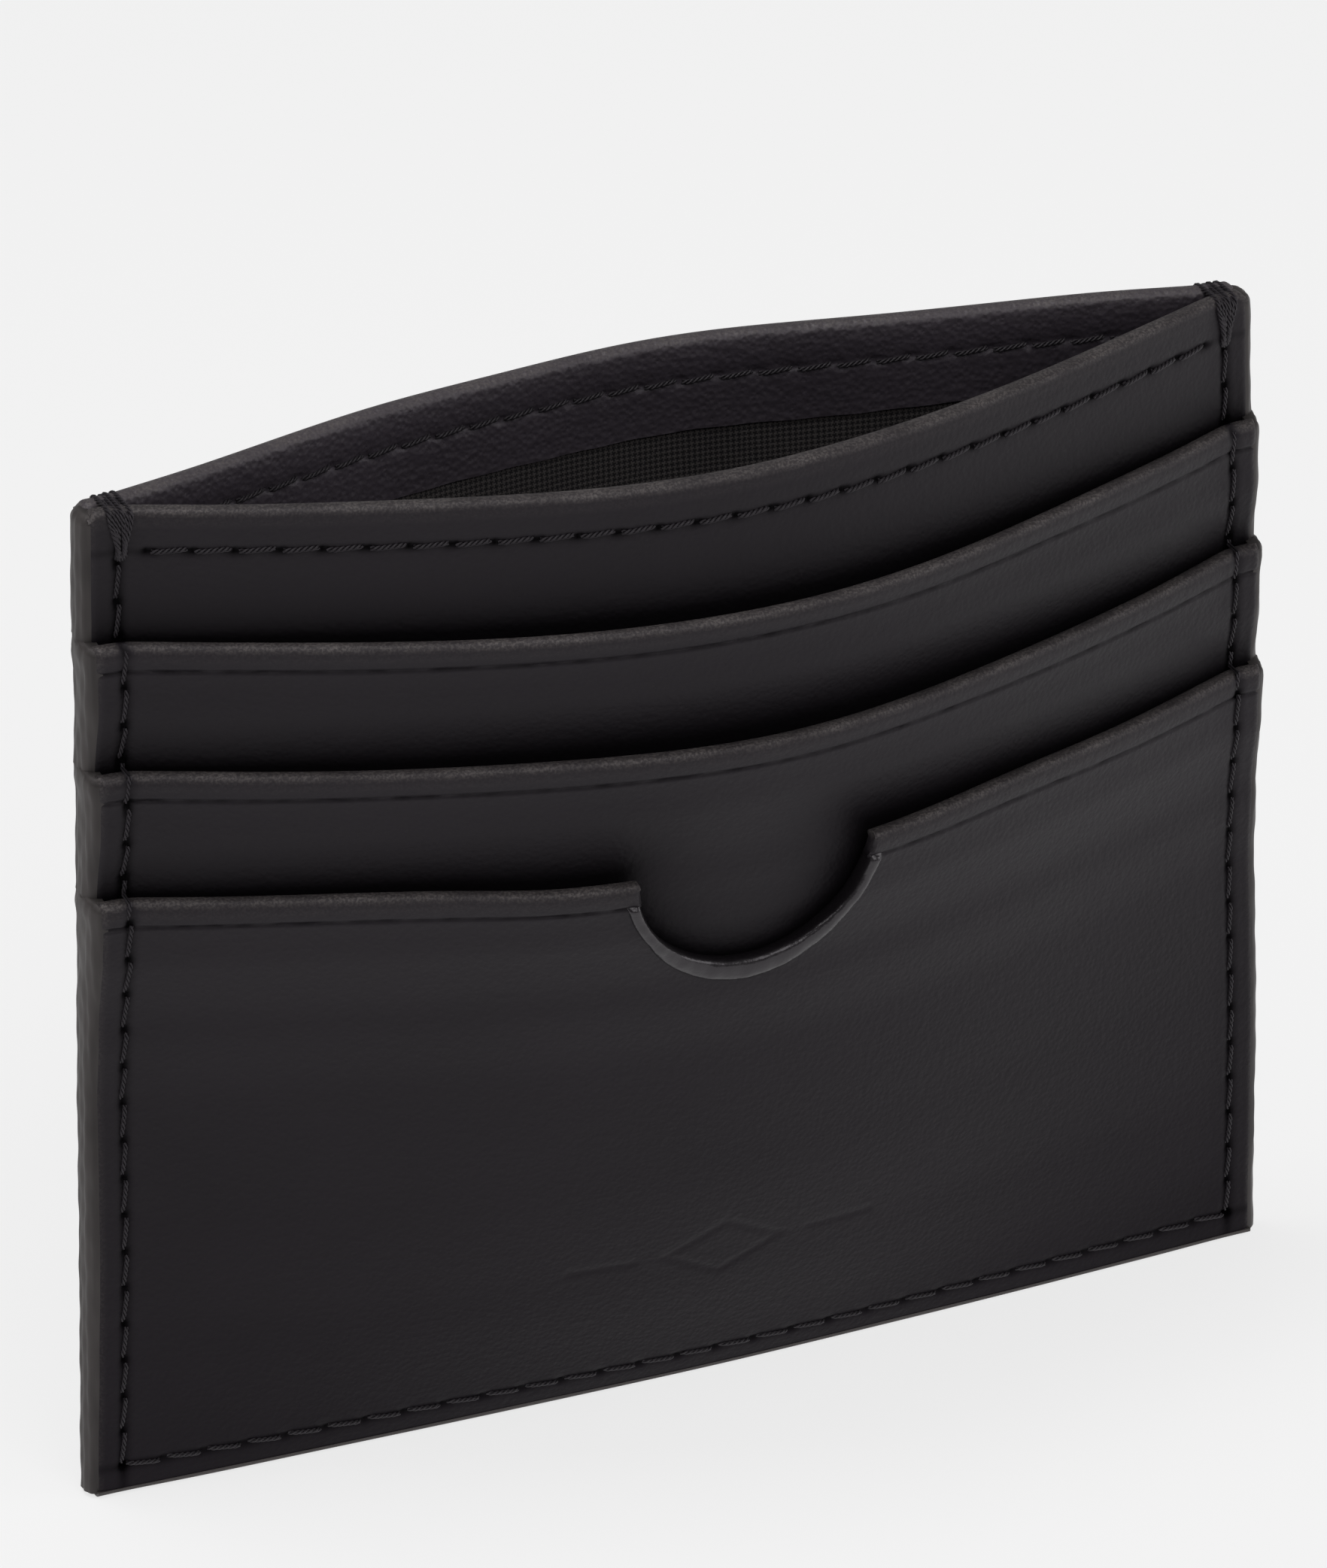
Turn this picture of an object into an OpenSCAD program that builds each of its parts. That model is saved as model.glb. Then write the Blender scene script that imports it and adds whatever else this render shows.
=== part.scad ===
// Slim leather card holder, stood up with its mouth open.
// Four stepped tiers on the front, one open compartment behind them, a thumb notch in the lowest
// pocket, a plain back, cloth linings, sewn rows and painted cut edges.
// +X is the holder's right seen from the front, +Y its back, +Z up. Millimetres.

/* [Body] */
// Width across the bottom edge
body_w = 95; // [90:0.5:105]
// Height from the bottom edge to the mouth
body_h = 80; // [78:0.5:90]
// How much narrower the opened mouth is than the bottom edge
mouth_narrowing = 4.2; // [0:0.1:6]
// Distance from a cut edge to its row of stitches
seam_inset = 2.1; // [1.8:0.1:2.6]

/* [Opened walls] */
// Forward bow of the front wall at the mouth
front_bow = 12.9; // [8:0.1:14]
// Backward bow of the rear wall at the mouth
rear_bow = 8.4; // [6:0.1:14]
// Forward bow of the bottom edge
foot_bow = 1.2; // [0:0.1:2]
// Roundness of the middle of the front bow, from a soft point to a plain arc
front_roundness = 0.54; // [0.25:0.01:1]
// Roundness of the middle of the rear bow
rear_roundness = 0.28; // [0.25:0.01:1]
// How early the front wall reaches its full bow on the way up
front_fullness = 3; // [2:0.1:3.5]
// How early the rear wall reaches its full bow
rear_fullness = 2.2; // [1.5:0.1:3.5]
// How far the middle of a pocket lip stands off the tier behind it
lip_gap = 1.3; // [0.2:0.1:1.8]

/* [Tiers] */
// Height from one pocket lip to the next
tier_pitch = 10; // [9:0.5:10.5]
// Height of each tier's leather that the next pocket hides
tier_overlap = 11; // [9:0.5:12]
// Height of the turned hem round the mouth, on the inside
mouth_hem = 7.5; // [6.5:0.5:9]
// Height of the turned hem behind each pocket lip
lip_hem = 5; // [4:0.5:5.5]
// Depth of a card slot, from its lip to its bottom seam
slot_depth = 48; // [46:0.5:50]

/* [Sheets] */
// Thickness of the leather
leather_t = 1.1; // [0.9:0.1:1.2]
// Thickness of the leather where it is skived and turned
skived_t = 0.3; // [0.2:0.1:0.4]
// Thickness of the woven lining
cloth_t = 0.2; // [0.2:0.05:0.3]
// Thickness of the paint on the cut edges
paint_t = 0.25; // [0.2:0.05:0.4]

/* [Thumb notch] */
// Radius of the bound half-moon opening
notch_r = 9.4; // [8:0.1:10]
// Height of its centre above the pocket's lip
notch_rise = 0.6; // [0:0.1:1.5]
// Width of the binding on the front
binding_w = 1.6; // [1.2:0.1:2]

/* [Thread] */
// Diameter of the sewing thread
thread_d = 0.45; // [0.3:0.05:0.5]
// Length of one stitch
stitch_pitch = 3.1; // [2.5:0.1:3.5]
// Distance from the mouth to its row of stitches
mouth_inset = 3.2; // [2.8:0.1:4]
// Number of threads in a bar tack
tack_threads = 6; // [4:1:7]

/* [Hidden] */

columns = 6;             // mesh columns from the middle of a wall to its side seam
cut_edge = 2;            // column value that stands for the cut edge, outside the side seam
fold_h = 1.2;            // height of the rounded fold at a turned edge
lip_gap_share = [0, 1, 0.9, 0.7];  // stand-off of each pocket lip, as a share of lip_gap
step_h = 0.8;            // height over which a layer steps over the end of one behind it
stitch_gap = 0.5;        // length of thread hidden in each needle hole
stitch_lift = 0.02;      // clearance between a thread and the leather under it
binding_t = 0.4;         // thickness of the notch binding
binding_top = 2.5;       // depth below the lip at which the binding starts, under the turned hem
binding_back_w = 4;      // width of the binding behind the pocket
binding_gap = 0.08;      // clearance between the binding and the pocket leather
base_thread_d = 0.25;    // thread that closes the bottom of a card slot
tack_h = 4;              // height of a bar tack's legs
tack_top_w = 3;          // width of a bar tack where it crosses the mouth
tack_low_w = 2.4;        // width of a bar tack at its foot

FRONT = -1;
REAR = 1;
foot = paint_t;          // the sheets stand on the painted bottom edge
lip = [for (i = [0:3]) body_h - i * tier_pitch];
leather_low = [for (i = [0:2]) lip[i + 1] - tier_overlap];
// A backing's glued top edge lies just under the turned hem of the pocket in front of it
glue_top = [for (i = [0:2]) lip[i + 1] - lip_hem - step_h];
slot_base = [for (i = [0:2]) lip[i] - slot_depth];

// The layers of each wall, from the compartment outwards: name, thickness, lowest and highest point
rear_stack = [
    ["mouth_hem", skived_t, body_h - mouth_hem, body_h],
    ["lining", cloth_t, foot, body_h - fold_h],
    ["leather", leather_t, foot, body_h],
];
front_stack = [
    ["mouth_hem", skived_t, body_h - mouth_hem, body_h],
    ["lining", cloth_t, foot, body_h - fold_h],
    ["backing0", cloth_t, foot, glue_top[0]],
    ["leather0", leather_t, leather_low[0], body_h],
    ["backing1", cloth_t, slot_base[1], glue_top[1]],
    ["thread1", base_thread_d, slot_base[1], slot_base[1] + 2],
    ["hem1", skived_t, lip[1] - lip_hem, lip[1]],
    ["leather1", leather_t, leather_low[1], lip[1]],
    ["backing2", cloth_t, slot_base[2], glue_top[2]],
    ["thread2", base_thread_d, slot_base[2], slot_base[2] + 2],
    ["hem2", skived_t, lip[2] - lip_hem, lip[2]],
    ["leather2", leather_t, leather_low[2], lip[2]],
    ["hem3", skived_t, lip[3] - lip_hem, lip[3]],
    ["leather3", leather_t, foot, lip[3]],
];

// ---- lists ----

function sorted(v) = len(v) < 2 ? v :
    let(p = v[0]) concat(sorted([for (a = v) if (a < p) a]), [p], sorted([for (a = v) if (a > p) a]));
function reversed(v) = [for (i = [len(v) - 1:-1:0]) v[i]];
function clamp01(t) = min(1, max(0, t));

// ---- the opened walls ----

// Half the width of the holder at a height
function half_w(z) = (body_w - mouth_narrowing * z / body_h) / 2;
// Share of a wall's bow at u, which runs from -1 at the left seam to 1 at the right seam
function bow_share(side, u) = abs(u) >= 1 ? 0 :
    let(q = side == FRONT ? front_roundness : rear_roundness)
    1 - (sqrt(u * u + q * q) - q) / (sqrt(1 + q * q) - q);
// Share of a wall's bow at a height
function rise(side, z) = 1 - pow(1 - z / body_h, side == FRONT ? front_fullness : rear_fullness);
function wall_x(u, z) = abs(u) > 1 ? sign(u) * half_w(z) : u * (half_w(z) - seam_inset);
function wall_u(x, z) = x / (half_w(z) - seam_inset);
// Y of a point at u and height z, depth d outside the middle of the compartment and gap off the
// layers behind it. The seam's middle is set back so that Y = 0 halves the bottom edge
function wall_y(side, u, z, d, gap = 0) =
    let(share = bow_share(side, u), bow = side == FRONT ? front_bow : rear_bow)
    seam_y - foot_bow * bow_share(FRONT, u) * (1 - z / body_h)
    + side * (d + (gap + bow * rise(side, z)) * share);
function wall_point(side, u, z, d, gap = 0) = [wall_x(u, z), wall_y(side, u, z, d, gap), z];

// ---- the layers ----

function layer(stack, name) = search([name], stack)[0];
function has(entry, z) = z >= entry[2] - 0.001 && z <= entry[3] + 0.001;
// Depth of the inner face of layer k at a height
function depth(stack, k, z) = k == 0 ? 0 :
    depth(stack, k - 1, z) + (has(stack[k - 1], z) ? stack[k - 1][1] : 0);
function stack_of(side) = side == FRONT ? front_stack : rear_stack;
function full_depth(side, z) = depth(stack_of(side), len(stack_of(side)), z);
seam_y = foot_bow + (full_depth(FRONT, foot) - full_depth(REAR, foot)) / 2;
// Stand-off of layer k where a pocket in front of another flares at its lip
function lip_flare(z, i) =
    lip_gap * lip_gap_share[i] * pow(clamp01((z - lip[i] + tier_pitch) / tier_pitch), 2);
function flare(side, k, z) = side == REAR ? 0 :
    (k >= layer(front_stack, "backing1") ? (z <= lip[1] ? lip_flare(z, 1) : 0) : 0)
    + (k >= layer(front_stack, "backing2") ? (z <= lip[2] ? lip_flare(z, 2) : 0) : 0)
    + (k >= layer(front_stack, "hem3") ? (z <= lip[3] ? lip_flare(z, 3) : 0) : 0);
function skin_y(side, x, z) =
    let(k = len(stack_of(side)))
    wall_y(side, wall_u(x, z), z, full_depth(side, z), flare(side, k - 1, z));

// Every height at which a wall's layer starts or ends, a step beyond those that lie under another
// layer, and a few between them
function tidy(z) = round(z * 1000) / 1000;
function wall_heights(stack, between) = sorted([for (z = concat(
    [for (e = stack) each [e[2], e[3]]],
    [for (e = stack) if (e[2] > foot) e[2] - step_h],
    [for (i = [1:3]) each (stack == front_stack ? [slot_base[min(i, 2)] + 2 + step_h] : [])],
    between)) tidy(z)]);
front_heights = wall_heights(front_stack, concat([for (i = [1:3]) lip[i] - lip_hem / 2], [6, 17, 29, 35]));
rear_heights = wall_heights(rear_stack, [6, 13, 21, 30, 40, 51, 62]);
function heights_in(side, low, high) = [for (z = side == FRONT ? front_heights : rear_heights)
    if (z >= low - 0.001 && z <= high + 0.001) z];

// ---- sheets ----

u_columns = concat([-cut_edge], [for (i = [-columns:columns]) i / columns], [cut_edge]);

// Faces that close a section between its points a, a + 1 ... and the opposite ones c, c - 1 ...
function ladder(a, c, rungs) = [for (i = [0:rungs - 1])
    each [[a + i, c - i - 1, a + i + 1], [a + i, c - i, c - i - 1]]];
function shifted(faces, by) = [for (f = faces) [for (v = f) v + by]];

// A sheet swept from the left cut edge to the right one. Each entry of the loop is a height, a depth
// and a stand-off, in order round the sheet's upright section, and end holds the faces that close it.
module swept_sheet(side, loop, end) {
    n = len(loop);
    m = len(u_columns);
    points = [for (u = u_columns) for (e = loop) wall_point(side, u, e[0], e[1], e[2])];
    skin = [for (c = [0:m - 2]) for (i = [0:n - 1])
        let(a = c * n + i, b = c * n + (i + 1) % n) each [[a, b, b + n], [a, b + n, a + n]]];
    faces = concat(skin, end, [for (f = shifted(end, (m - 1) * n)) reversed(f)]);
    polyhedron(points, side == FRONT ? faces : [for (f = faces) reversed(f)], convexity = 6);
}

// The section of a plain layer: up its outer face, over its top and down its inner face
function layer_loop(side, k_in, k_out, low, high, nose = 0) =
    let(stack = stack_of(side), zs = heights_in(side, low, high - nose),
        g = function (z) flare(side, k_out, z),
        d_in = depth(stack, k_in, high), d_out = depth(stack, k_out + 1, high), t = d_out - d_in)
    concat(
        [for (z = zs) [z, depth(stack, k_out + 1, z), g(z)]],
        nose == 0 ? [] : [
            [high - nose * 0.3, d_out - t * 0.12, g(high)],
            [high, d_out - t * 0.4, g(high)],
            [high, d_in + t * 0.4, g(high)],
            [high - nose * 0.3, d_in + t * 0.12, g(high)],
        ],
        [for (z = reversed(zs)) [z, depth(stack, k_in, z), g(z)]]
    );

module layer_sheet(side, name, inner_name = "", nose = 0) {
    stack = stack_of(side);
    k_out = layer(stack, name);
    k_in = inner_name == "" ? k_out : layer(stack, inner_name);
    loop = layer_loop(side, k_in, k_out, stack[k_out][2], stack[k_out][3], nose);
    swept_sheet(side, loop, ladder(0, len(loop) - 1, len(loop) / 2 - 1));
}

// The section of a leather wall turned in at the mouth, with the lining caught under its hem
function turned_loop(side, name) =
    let(stack = stack_of(side), k = layer(stack, name), low = stack[k][2], top = body_h - fold_h,
        zs = heights_in(side, low, top), flap = heights_in(side, body_h - mouth_hem, top),
        t = full_depth(side, body_h) + cloth_t)
    concat(
        [for (z = zs) [z, depth(stack, k + 1, z), 0]],
        [[body_h - fold_h * 0.35, t * 0.9, 0], [body_h, t * 0.65, 0]],
        [[body_h, t * 0.35, 0], [body_h - fold_h * 0.35, t * 0.1, 0]],
        [for (z = reversed(flap)) [z, 0, 0]],
        [for (z = flap) [z, skived_t, 0]],
        [for (z = reversed(zs)) [z, depth(stack, k, z), 0]]
    );

// The faces that close it: its wall, its flap and the fold between them
function turned_end(side, name) =
    let(m = len(heights_in(side, stack_of(side)[layer(stack_of(side), name)][2], body_h - fold_h)),
        f = len(heights_in(side, body_h - mouth_hem, body_h - fold_h)),
        fold = [m + 1, m + 2, m + 3, m + 4, m + 3 + 2 * f, m + 4 + 2 * f, m - 1, m])
    concat(ladder(0, 2 * m + 3 + 2 * f, m - 1), ladder(m + 4, m + 3 + 2 * f, f - 1),
        [for (i = [1:6]) [fold[0], fold[i + 1], fold[i]]]);

module turned_wall(side, name) swept_sheet(side, turned_loop(side, name), turned_end(side, name));

// ---- leather ----

module rear_panel() color("#2b292c") turned_wall(REAR, "leather");

module front_panel() color("#2b292c") turned_wall(FRONT, "leather0");

module card_pocket(i) color("#2b292c") layer_sheet(FRONT, str("leather", i), str("hem", i), fold_h);

module front_pocket() color("#2b292c") difference() {
    reach = 2 * front_bow + 10;
    layer_sheet(FRONT, "leather3", "hem3", fold_h);
    translate([0, 0, lip[3] + notch_rise]) rotate([90, 0, 0])
        cylinder(r = notch_r + binding_t + binding_gap, h = reach, $fn = 72);
}

// A strip folded over the half-moon: a narrow flange in front, a wide one behind
module notch_binding() color("#333134") {
    a0 = asin((notch_rise + binding_top) / notch_r);
    z0 = lip[3] + notch_rise;
    turns = 24;
    path = [for (i = [0:turns]) let(a = 180 + a0 + (180 - 2 * a0) * i / turns) [cos(a), sin(a)]];
    k_in = layer(front_stack, "hem3");
    k_out = layer(front_stack, "leather3");
    section = [
        [0, 1, binding_t], [binding_w, 1, binding_t],
        [binding_w, 1, binding_gap], [binding_t, 1, binding_gap],
        [binding_t, 0, -binding_gap], [binding_back_w, 0, -binding_gap],
        [binding_back_w, 0, -binding_t], [0, 0, -binding_t],
    ];
    n = len(section);
    m = len(path);
    points = [for (s = path) for (p = section)
        let(x = s[0] * (notch_r + p[0]), z = z0 + s[1] * (notch_r + p[0]),
            d = depth(front_stack, p[1] == 1 ? k_out + 1 : k_in, z) + p[2])
        wall_point(FRONT, wall_u(x, z), z, d, flare(FRONT, k_out, z))];
    skin = [for (c = [0:m - 2]) for (i = [0:n - 1])
        let(a = c * n + i, b = c * n + (i + 1) % n) each [[a, b, b + n], [a, b + n, a + n]]];
    tip = [[0, 3, 2, 1], [0, 7, 4, 3], [4, 7, 6, 5]];
    polyhedron(points, concat(skin, tip, [for (f = shifted(tip, (m - 1) * n)) reversed(f)]), convexity = 6);
}

// ---- cloth ----

module lining(side) color("#17161a") layer_sheet(side, "lining");

module backing(i) color("#17161a") layer_sheet(FRONT, str("backing", i));

// ---- paint on the cut edges ----

module edge_paint_side(hand) color("#3a3537") {
    zs = sorted(concat(heights_in(FRONT, foot, body_h), [for (i = [1:3]) lip[i] + 0.05]));
    points = [for (z = zs)
        let(x = half_w(z), front = seam_y - full_depth(FRONT, z), rear = seam_y + full_depth(REAR, z))
        each [[hand * x, front, z], [hand * (x + paint_t), front, z], [hand * (x + paint_t), rear, z],
            [hand * x, rear, z]]];
    n = 4;
    m = len(zs);
    skin = [for (c = [0:m - 2]) for (i = [0:n - 1])
        let(a = c * n + i, b = c * n + (i + 1) % n) each [[a, b + n, b], [a, a + n, b + n]]];
    faces = concat(skin, [[0, 1, 2, 3], [for (i = [n - 1:-1:0]) (m - 1) * n + i]]);
    polyhedron(points, hand > 0 ? faces : [for (f = faces) reversed(f)], convexity = 4);
}

module edge_paint_bottom() color("#3a3537") {
    x = half_w(foot) + paint_t;
    front = full_depth(FRONT, foot);
    rear = full_depth(REAR, foot);
    linear_extrude(paint_t) polygon(concat(
        [[-x, seam_y - front]],
        [for (u = u_columns) [wall_x(u, foot), wall_y(FRONT, u, foot, front)]],
        [[x, seam_y - front], [x, seam_y + rear]],
        [for (u = reversed(u_columns)) [wall_x(u, foot), wall_y(REAR, u, foot, rear)]],
        [[-x, seam_y + rear]]
    ));
}

// ---- thread ----

module strand(a, b, d) {
    v = b - a;
    length = norm(v);
    translate(a) rotate([0, acos(v[2] / length), atan2(v[1], v[0])]) cylinder(d = d, h = length, $fn = 6);
}

// Stitches along a list of points, each shorter than its step by the length hidden in the needle holes
module stitches(points, d = thread_d) {
    for (i = [0:len(points) - 2]) {
        a = points[i];
        b = points[i + 1];
        pull = (b - a) / norm(b - a) * stitch_gap / 2;
        strand(a + pull, b - pull, d);
    }
}

// The row round the sides and the bottom, as x and z of the needle holes
seam_z = foot + seam_inset;
side_steps = round((body_h - tack_h - seam_z) / stitch_pitch);
foot_steps = round(2 * (half_w(seam_z) - seam_inset) / stitch_pitch);
function side_holes(hand) = [for (i = [0:side_steps])
    let(z = seam_z + (body_h - tack_h - seam_z) * i / side_steps) [hand * (half_w(z) - seam_inset), z]];
foot_holes = [for (i = [0:foot_steps])
    [(2 * i / foot_steps - 1) * (half_w(seam_z) - seam_inset), seam_z]];

module perimeter_stitching() color("#1d1c1f") {
    for (side = [FRONT, REAR]) {
        lift = side * (thread_d / 2 + stitch_lift);
        for (holes = [side_holes(-1), foot_holes, side_holes(1)])
            stitches([for (h = holes) [h[0], skin_y(side, h[0], h[1]) + lift, h[1]]]);
    }
}

mouth_steps = round(2 * (half_w(body_h) - seam_inset - 2) / stitch_pitch);

module mouth_stitching(side) color("#1d1c1f") {
    z = body_h - mouth_inset;
    us = [for (i = [0:mouth_steps]) (2 * i / mouth_steps - 1) * (1 - 2 / half_w(z))];
    lift = thread_d / 2 + stitch_lift;
    for (d = [full_depth(side, z) + lift, -lift])
        stitches([for (u = us) wall_point(side, u, z, d)]);
}

module base_stitching(i) color("#1d1c1f") {
    z = slot_base[i] + 1;
    k = layer(front_stack, str("thread", i));
    us = [for (j = [0:mouth_steps]) (2 * j / mouth_steps - 1) * 0.96];
    d = depth(front_stack, k, slot_base[i] + 1) + base_thread_d / 2;
    stitches([for (u = us) wall_point(FRONT, u, z, d)], base_thread_d - 2 * stitch_lift);
}

// A thread as a tube of six sides along points that keep close to a plane across X
module tube(path, d) {
    n = 6;
    m = len(path);
    rings = [for (i = [0:m - 1])
        let(t = path[min(i + 1, m - 1)] - path[max(i - 1, 0)], c = cross([1, 0, 0], t), b = c / norm(c))
        for (j = [0:n - 1]) path[i] + d / 2 * (cos(60 * j) * [1, 0, 0] + sin(60 * j) * b)];
    skin = [for (c = [0:m - 2]) for (j = [0:n - 1])
        let(a = c * n + j, b = c * n + (j + 1) % n) each [[a, b + n, b], [a, a + n, b + n]]];
    polyhedron(rings, concat(skin, [[for (j = [0:n - 1]) j], [for (j = [n - 1:-1:0]) (m - 1) * n + j]]));
}

module bar_tack(hand) color("#1d1c1f") {
    seam_x = hand * (half_w(body_h) - seam_inset);
    low = body_h - tack_h;
    lift = thread_d / 2 + stitch_lift;
    front = full_depth(FRONT, body_h - fold_h) + lift;
    rear = full_depth(REAR, body_h - fold_h) + lift;
    for (i = [0:tack_threads - 1]) {
        s = i / (tack_threads - 1) - 0.5;
        x_low = seam_x + s * tack_low_w;
        x_top = seam_x + s * tack_top_w;
        tube([for (p = [
            [x_low, -front, low], [x_top, -front, body_h - fold_h],
            [x_top, -front * 0.8, body_h + lift * 0.7], [x_top, -front * 0.4, body_h + lift],
            [x_top, rear * 0.4, body_h + lift], [x_top, rear * 0.8, body_h + lift * 0.7],
            [x_top, rear, body_h - fold_h], [x_low, rear, low],
        ]) p + [0, seam_y, 0]], min(thread_d, tack_low_w / tack_threads * 0.95));
    }
}

// ---- the object ----

rear_panel();
lining(REAR);  // rear_lining
lining(FRONT);  // front_lining
front_panel();
backing(0);  // front_panel_backing
card_pocket(1);  // upper_card_pocket
backing(1);  // upper_pocket_backing
card_pocket(2);  // middle_card_pocket
backing(2);  // middle_pocket_backing
front_pocket();
notch_binding();
edge_paint_side(-1);  // edge_paint_left
edge_paint_bottom();
edge_paint_side(1);  // edge_paint_right
perimeter_stitching();
mouth_stitching(FRONT);  // front_mouth_stitching
mouth_stitching(REAR);  // rear_mouth_stitching
bar_tack(-1);  // bar_tack_left
bar_tack(1);  // bar_tack_right
base_stitching(1);  // upper_pocket_base_stitching
base_stitching(2);  // middle_pocket_base_stitching
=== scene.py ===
import math

import bmesh
import bpy
import numpy as np
from mathutils import Matrix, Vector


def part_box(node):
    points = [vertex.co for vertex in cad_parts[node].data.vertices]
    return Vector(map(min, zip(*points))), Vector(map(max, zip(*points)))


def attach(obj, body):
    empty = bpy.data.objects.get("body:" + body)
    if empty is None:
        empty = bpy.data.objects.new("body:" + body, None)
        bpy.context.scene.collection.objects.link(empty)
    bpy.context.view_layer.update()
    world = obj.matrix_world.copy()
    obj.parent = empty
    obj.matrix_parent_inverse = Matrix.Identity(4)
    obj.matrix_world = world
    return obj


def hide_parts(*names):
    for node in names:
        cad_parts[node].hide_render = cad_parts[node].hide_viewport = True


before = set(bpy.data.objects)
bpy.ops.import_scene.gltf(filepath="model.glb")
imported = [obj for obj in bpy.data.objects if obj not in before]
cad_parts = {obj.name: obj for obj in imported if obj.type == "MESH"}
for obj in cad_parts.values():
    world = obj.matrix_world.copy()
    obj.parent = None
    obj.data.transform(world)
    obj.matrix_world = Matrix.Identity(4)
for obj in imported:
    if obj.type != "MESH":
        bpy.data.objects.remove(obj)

# Slim leather card holder, stood up with its mouth open.
# Lengths are millimetres until a mesh is made. +X is the holder's right seen from the front, +Y its
# back and +Z up. A point of a wall is given by its x, its height and its depth, which is counted from
# the main compartment outwards.

MM = 0.001
FRONT, REAR = -1, 1
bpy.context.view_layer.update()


def box_mm(node):
    low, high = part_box(node)
    return np.array(low) / MM, np.array(high) / MM


# ---- sizes from the frame ----

FOOT = box_mm("edge_paint_bottom")[1][2]
BODY_H = box_mm("front_panel")[1][2]
BODY_W = box_mm("front_pocket")[1][0] - box_mm("front_pocket")[0][0]
TIER_NODES = ("front_panel", "upper_card_pocket", "middle_card_pocket", "front_pocket")
LIPS = [box_mm(n)[1][2] for n in TIER_NODES]
LEATHER_LOW = [box_mm(n)[0][2] for n in TIER_NODES[:3]]
BACKING_NODES = ("front_panel_backing", "upper_pocket_backing", "middle_pocket_backing")
BACKING_SPAN = [(box_mm(n)[0][2], box_mm(n)[1][2]) for n in BACKING_NODES]
LINING_TOP = box_mm("rear_lining")[1][2]

# ---- sizes of the sheets and seams ----

NARROWING = 4.2          # how much narrower the mouth is than the bottom edge
SEAM_INSET = 2.1         # from a cut edge to its stitches
MOUTH_INSET = 3.2        # from the mouth to its stitches
MOUTH_HEM = 7.5          # how far down the turned edge of the mouth reaches inside
LIP_HEM = 5.0            # the same behind a pocket lip
LEATHER_T, SKIVED_T, CLOTH_T = 1.1, 0.3, 0.2
MOUTH_THREAD_D, SEAM_THREAD_D, TACK_THREAD_D, HIDDEN_THREAD_D = 0.42, 0.36, 0.45, 0.24
STITCH_PITCH, MOUTH_PITCH = 3.1, 2.85
TACK_H, TACK_TOP_W, TACK_LOW_W, TACK_THREADS = 4.0, 1.5, 0.5, 6     # the wrap at each corner
CREASE_DROP = 2.00       # from a pocket lip to the line pressed under it
NOSE_R = 0.62            # rounding of a turned edge
THINNEST = 0.12          # leather at a pared end
CORNER_W, CORNER_FALL = 0.9, 0.45          # rounding of the mouth's two corners

FOOT_BOW = 1.2           # how far the middle of the bottom edge stands forward
BOW = {FRONT: 12.9, REAR: 8.4}             # how far the mouth's middle stands from the seams
ROUNDNESS = {FRONT: 0.54, REAR: 0.28}      # 0 folds the wall sharply at its middle
FULLNESS = {FRONT: 3.0, REAR: 2.2}         # how soon the bow is full on the way up
RIGHT_SPREAD = 0.5       # how much wider the right-hand side stands
LIP_GAP = [0.0, 1.3, 1.17, 0.91]           # how far each lip stands off the tier behind
SEAM_Y = box_mm("edge_paint_left")[1][1] - LEATHER_T - CLOTH_T - SKIVED_T

NOTCH_X, NOTCH_Z, NOTCH_R = -0.5, LIPS[3] + 0.6, 9.4
BINDING_W, BINDING_FALL = 1.6, 1.7         # the fall widens the strip towards its bottom


def ramp(t):
    t = np.clip(t, 0, 1)
    return t * t * (3 - 2 * t)


def hump(t):
    return np.exp(-t * t)


# ---- the opened walls ----

def half_w(z):
    return (BODY_W - NARROWING * z / BODY_H) / 2


def bow_table(side):
    """The bow's share at each u, with the bend at the side seams eased as leather bends."""
    u = np.linspace(-1.6, 1.6, 3201)
    q = ROUNDNESS[side]
    share = 1 - (np.sqrt(u * u + q * q) - q) / (math.sqrt(1 + q * q) - q)
    share[np.abs(u) >= 1] = 0
    ease = 18                # standard deviation of the easing, in steps of u
    kernel = np.exp(-0.5 * (np.linspace(-80, 80, 161) / ease) ** 2)
    return u, np.convolve(share, kernel / kernel.sum(), mode="same")


BOW_TABLES = {side: bow_table(side) for side in (FRONT, REAR)}


def bow_share(side, u):
    return np.interp(u, *BOW_TABLES[side])


def sag(side, u, z):
    """Slow unevenness of a bent wall."""
    wave = 0.10 * np.sin(2.9 * u + 0.055 * z + 0.7 * side) + 0.05 * np.sin(7.3 * u - 0.09 * z + 1.3)
    swell = 0.0
    if side == REAR:
        swell = 0.55 * hump((u + 0.45) / 0.22) - 0.45 * hump((u - 0.4) / 0.25)
    return (wave * 0.8 + swell * ramp((z - 55) / 25)) * ramp((1 - np.abs(u)) / 0.35)


def settled(x, z):
    """X of a point once the right-hand side has spread a little more than the left."""
    return x + RIGHT_SPREAD * ramp(x / half_w(z))


def wall_at(side, x, z, depth, gap=0.0):
    """Points of a wall at depth from the compartment, and gap further at the middle; all broadcast."""
    x, z, depth, gap = np.broadcast_arrays(x, z, depth, gap)
    u = x / (half_w(z) - SEAM_INSET)
    share = bow_share(side, u)
    rise = 1 - (1 - np.clip(z / BODY_H, 0, 1)) ** FULLNESS[side]
    y = SEAM_Y - FOOT_BOW * bow_share(FRONT, u) * (1 - z / BODY_H)
    y = y + side * (depth + (gap + BOW[side] * rise) * share + sag(side, u, z))
    return np.stack([settled(x, z), y, z], -1)


# ---- the layers, from the compartment outwards ----

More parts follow.
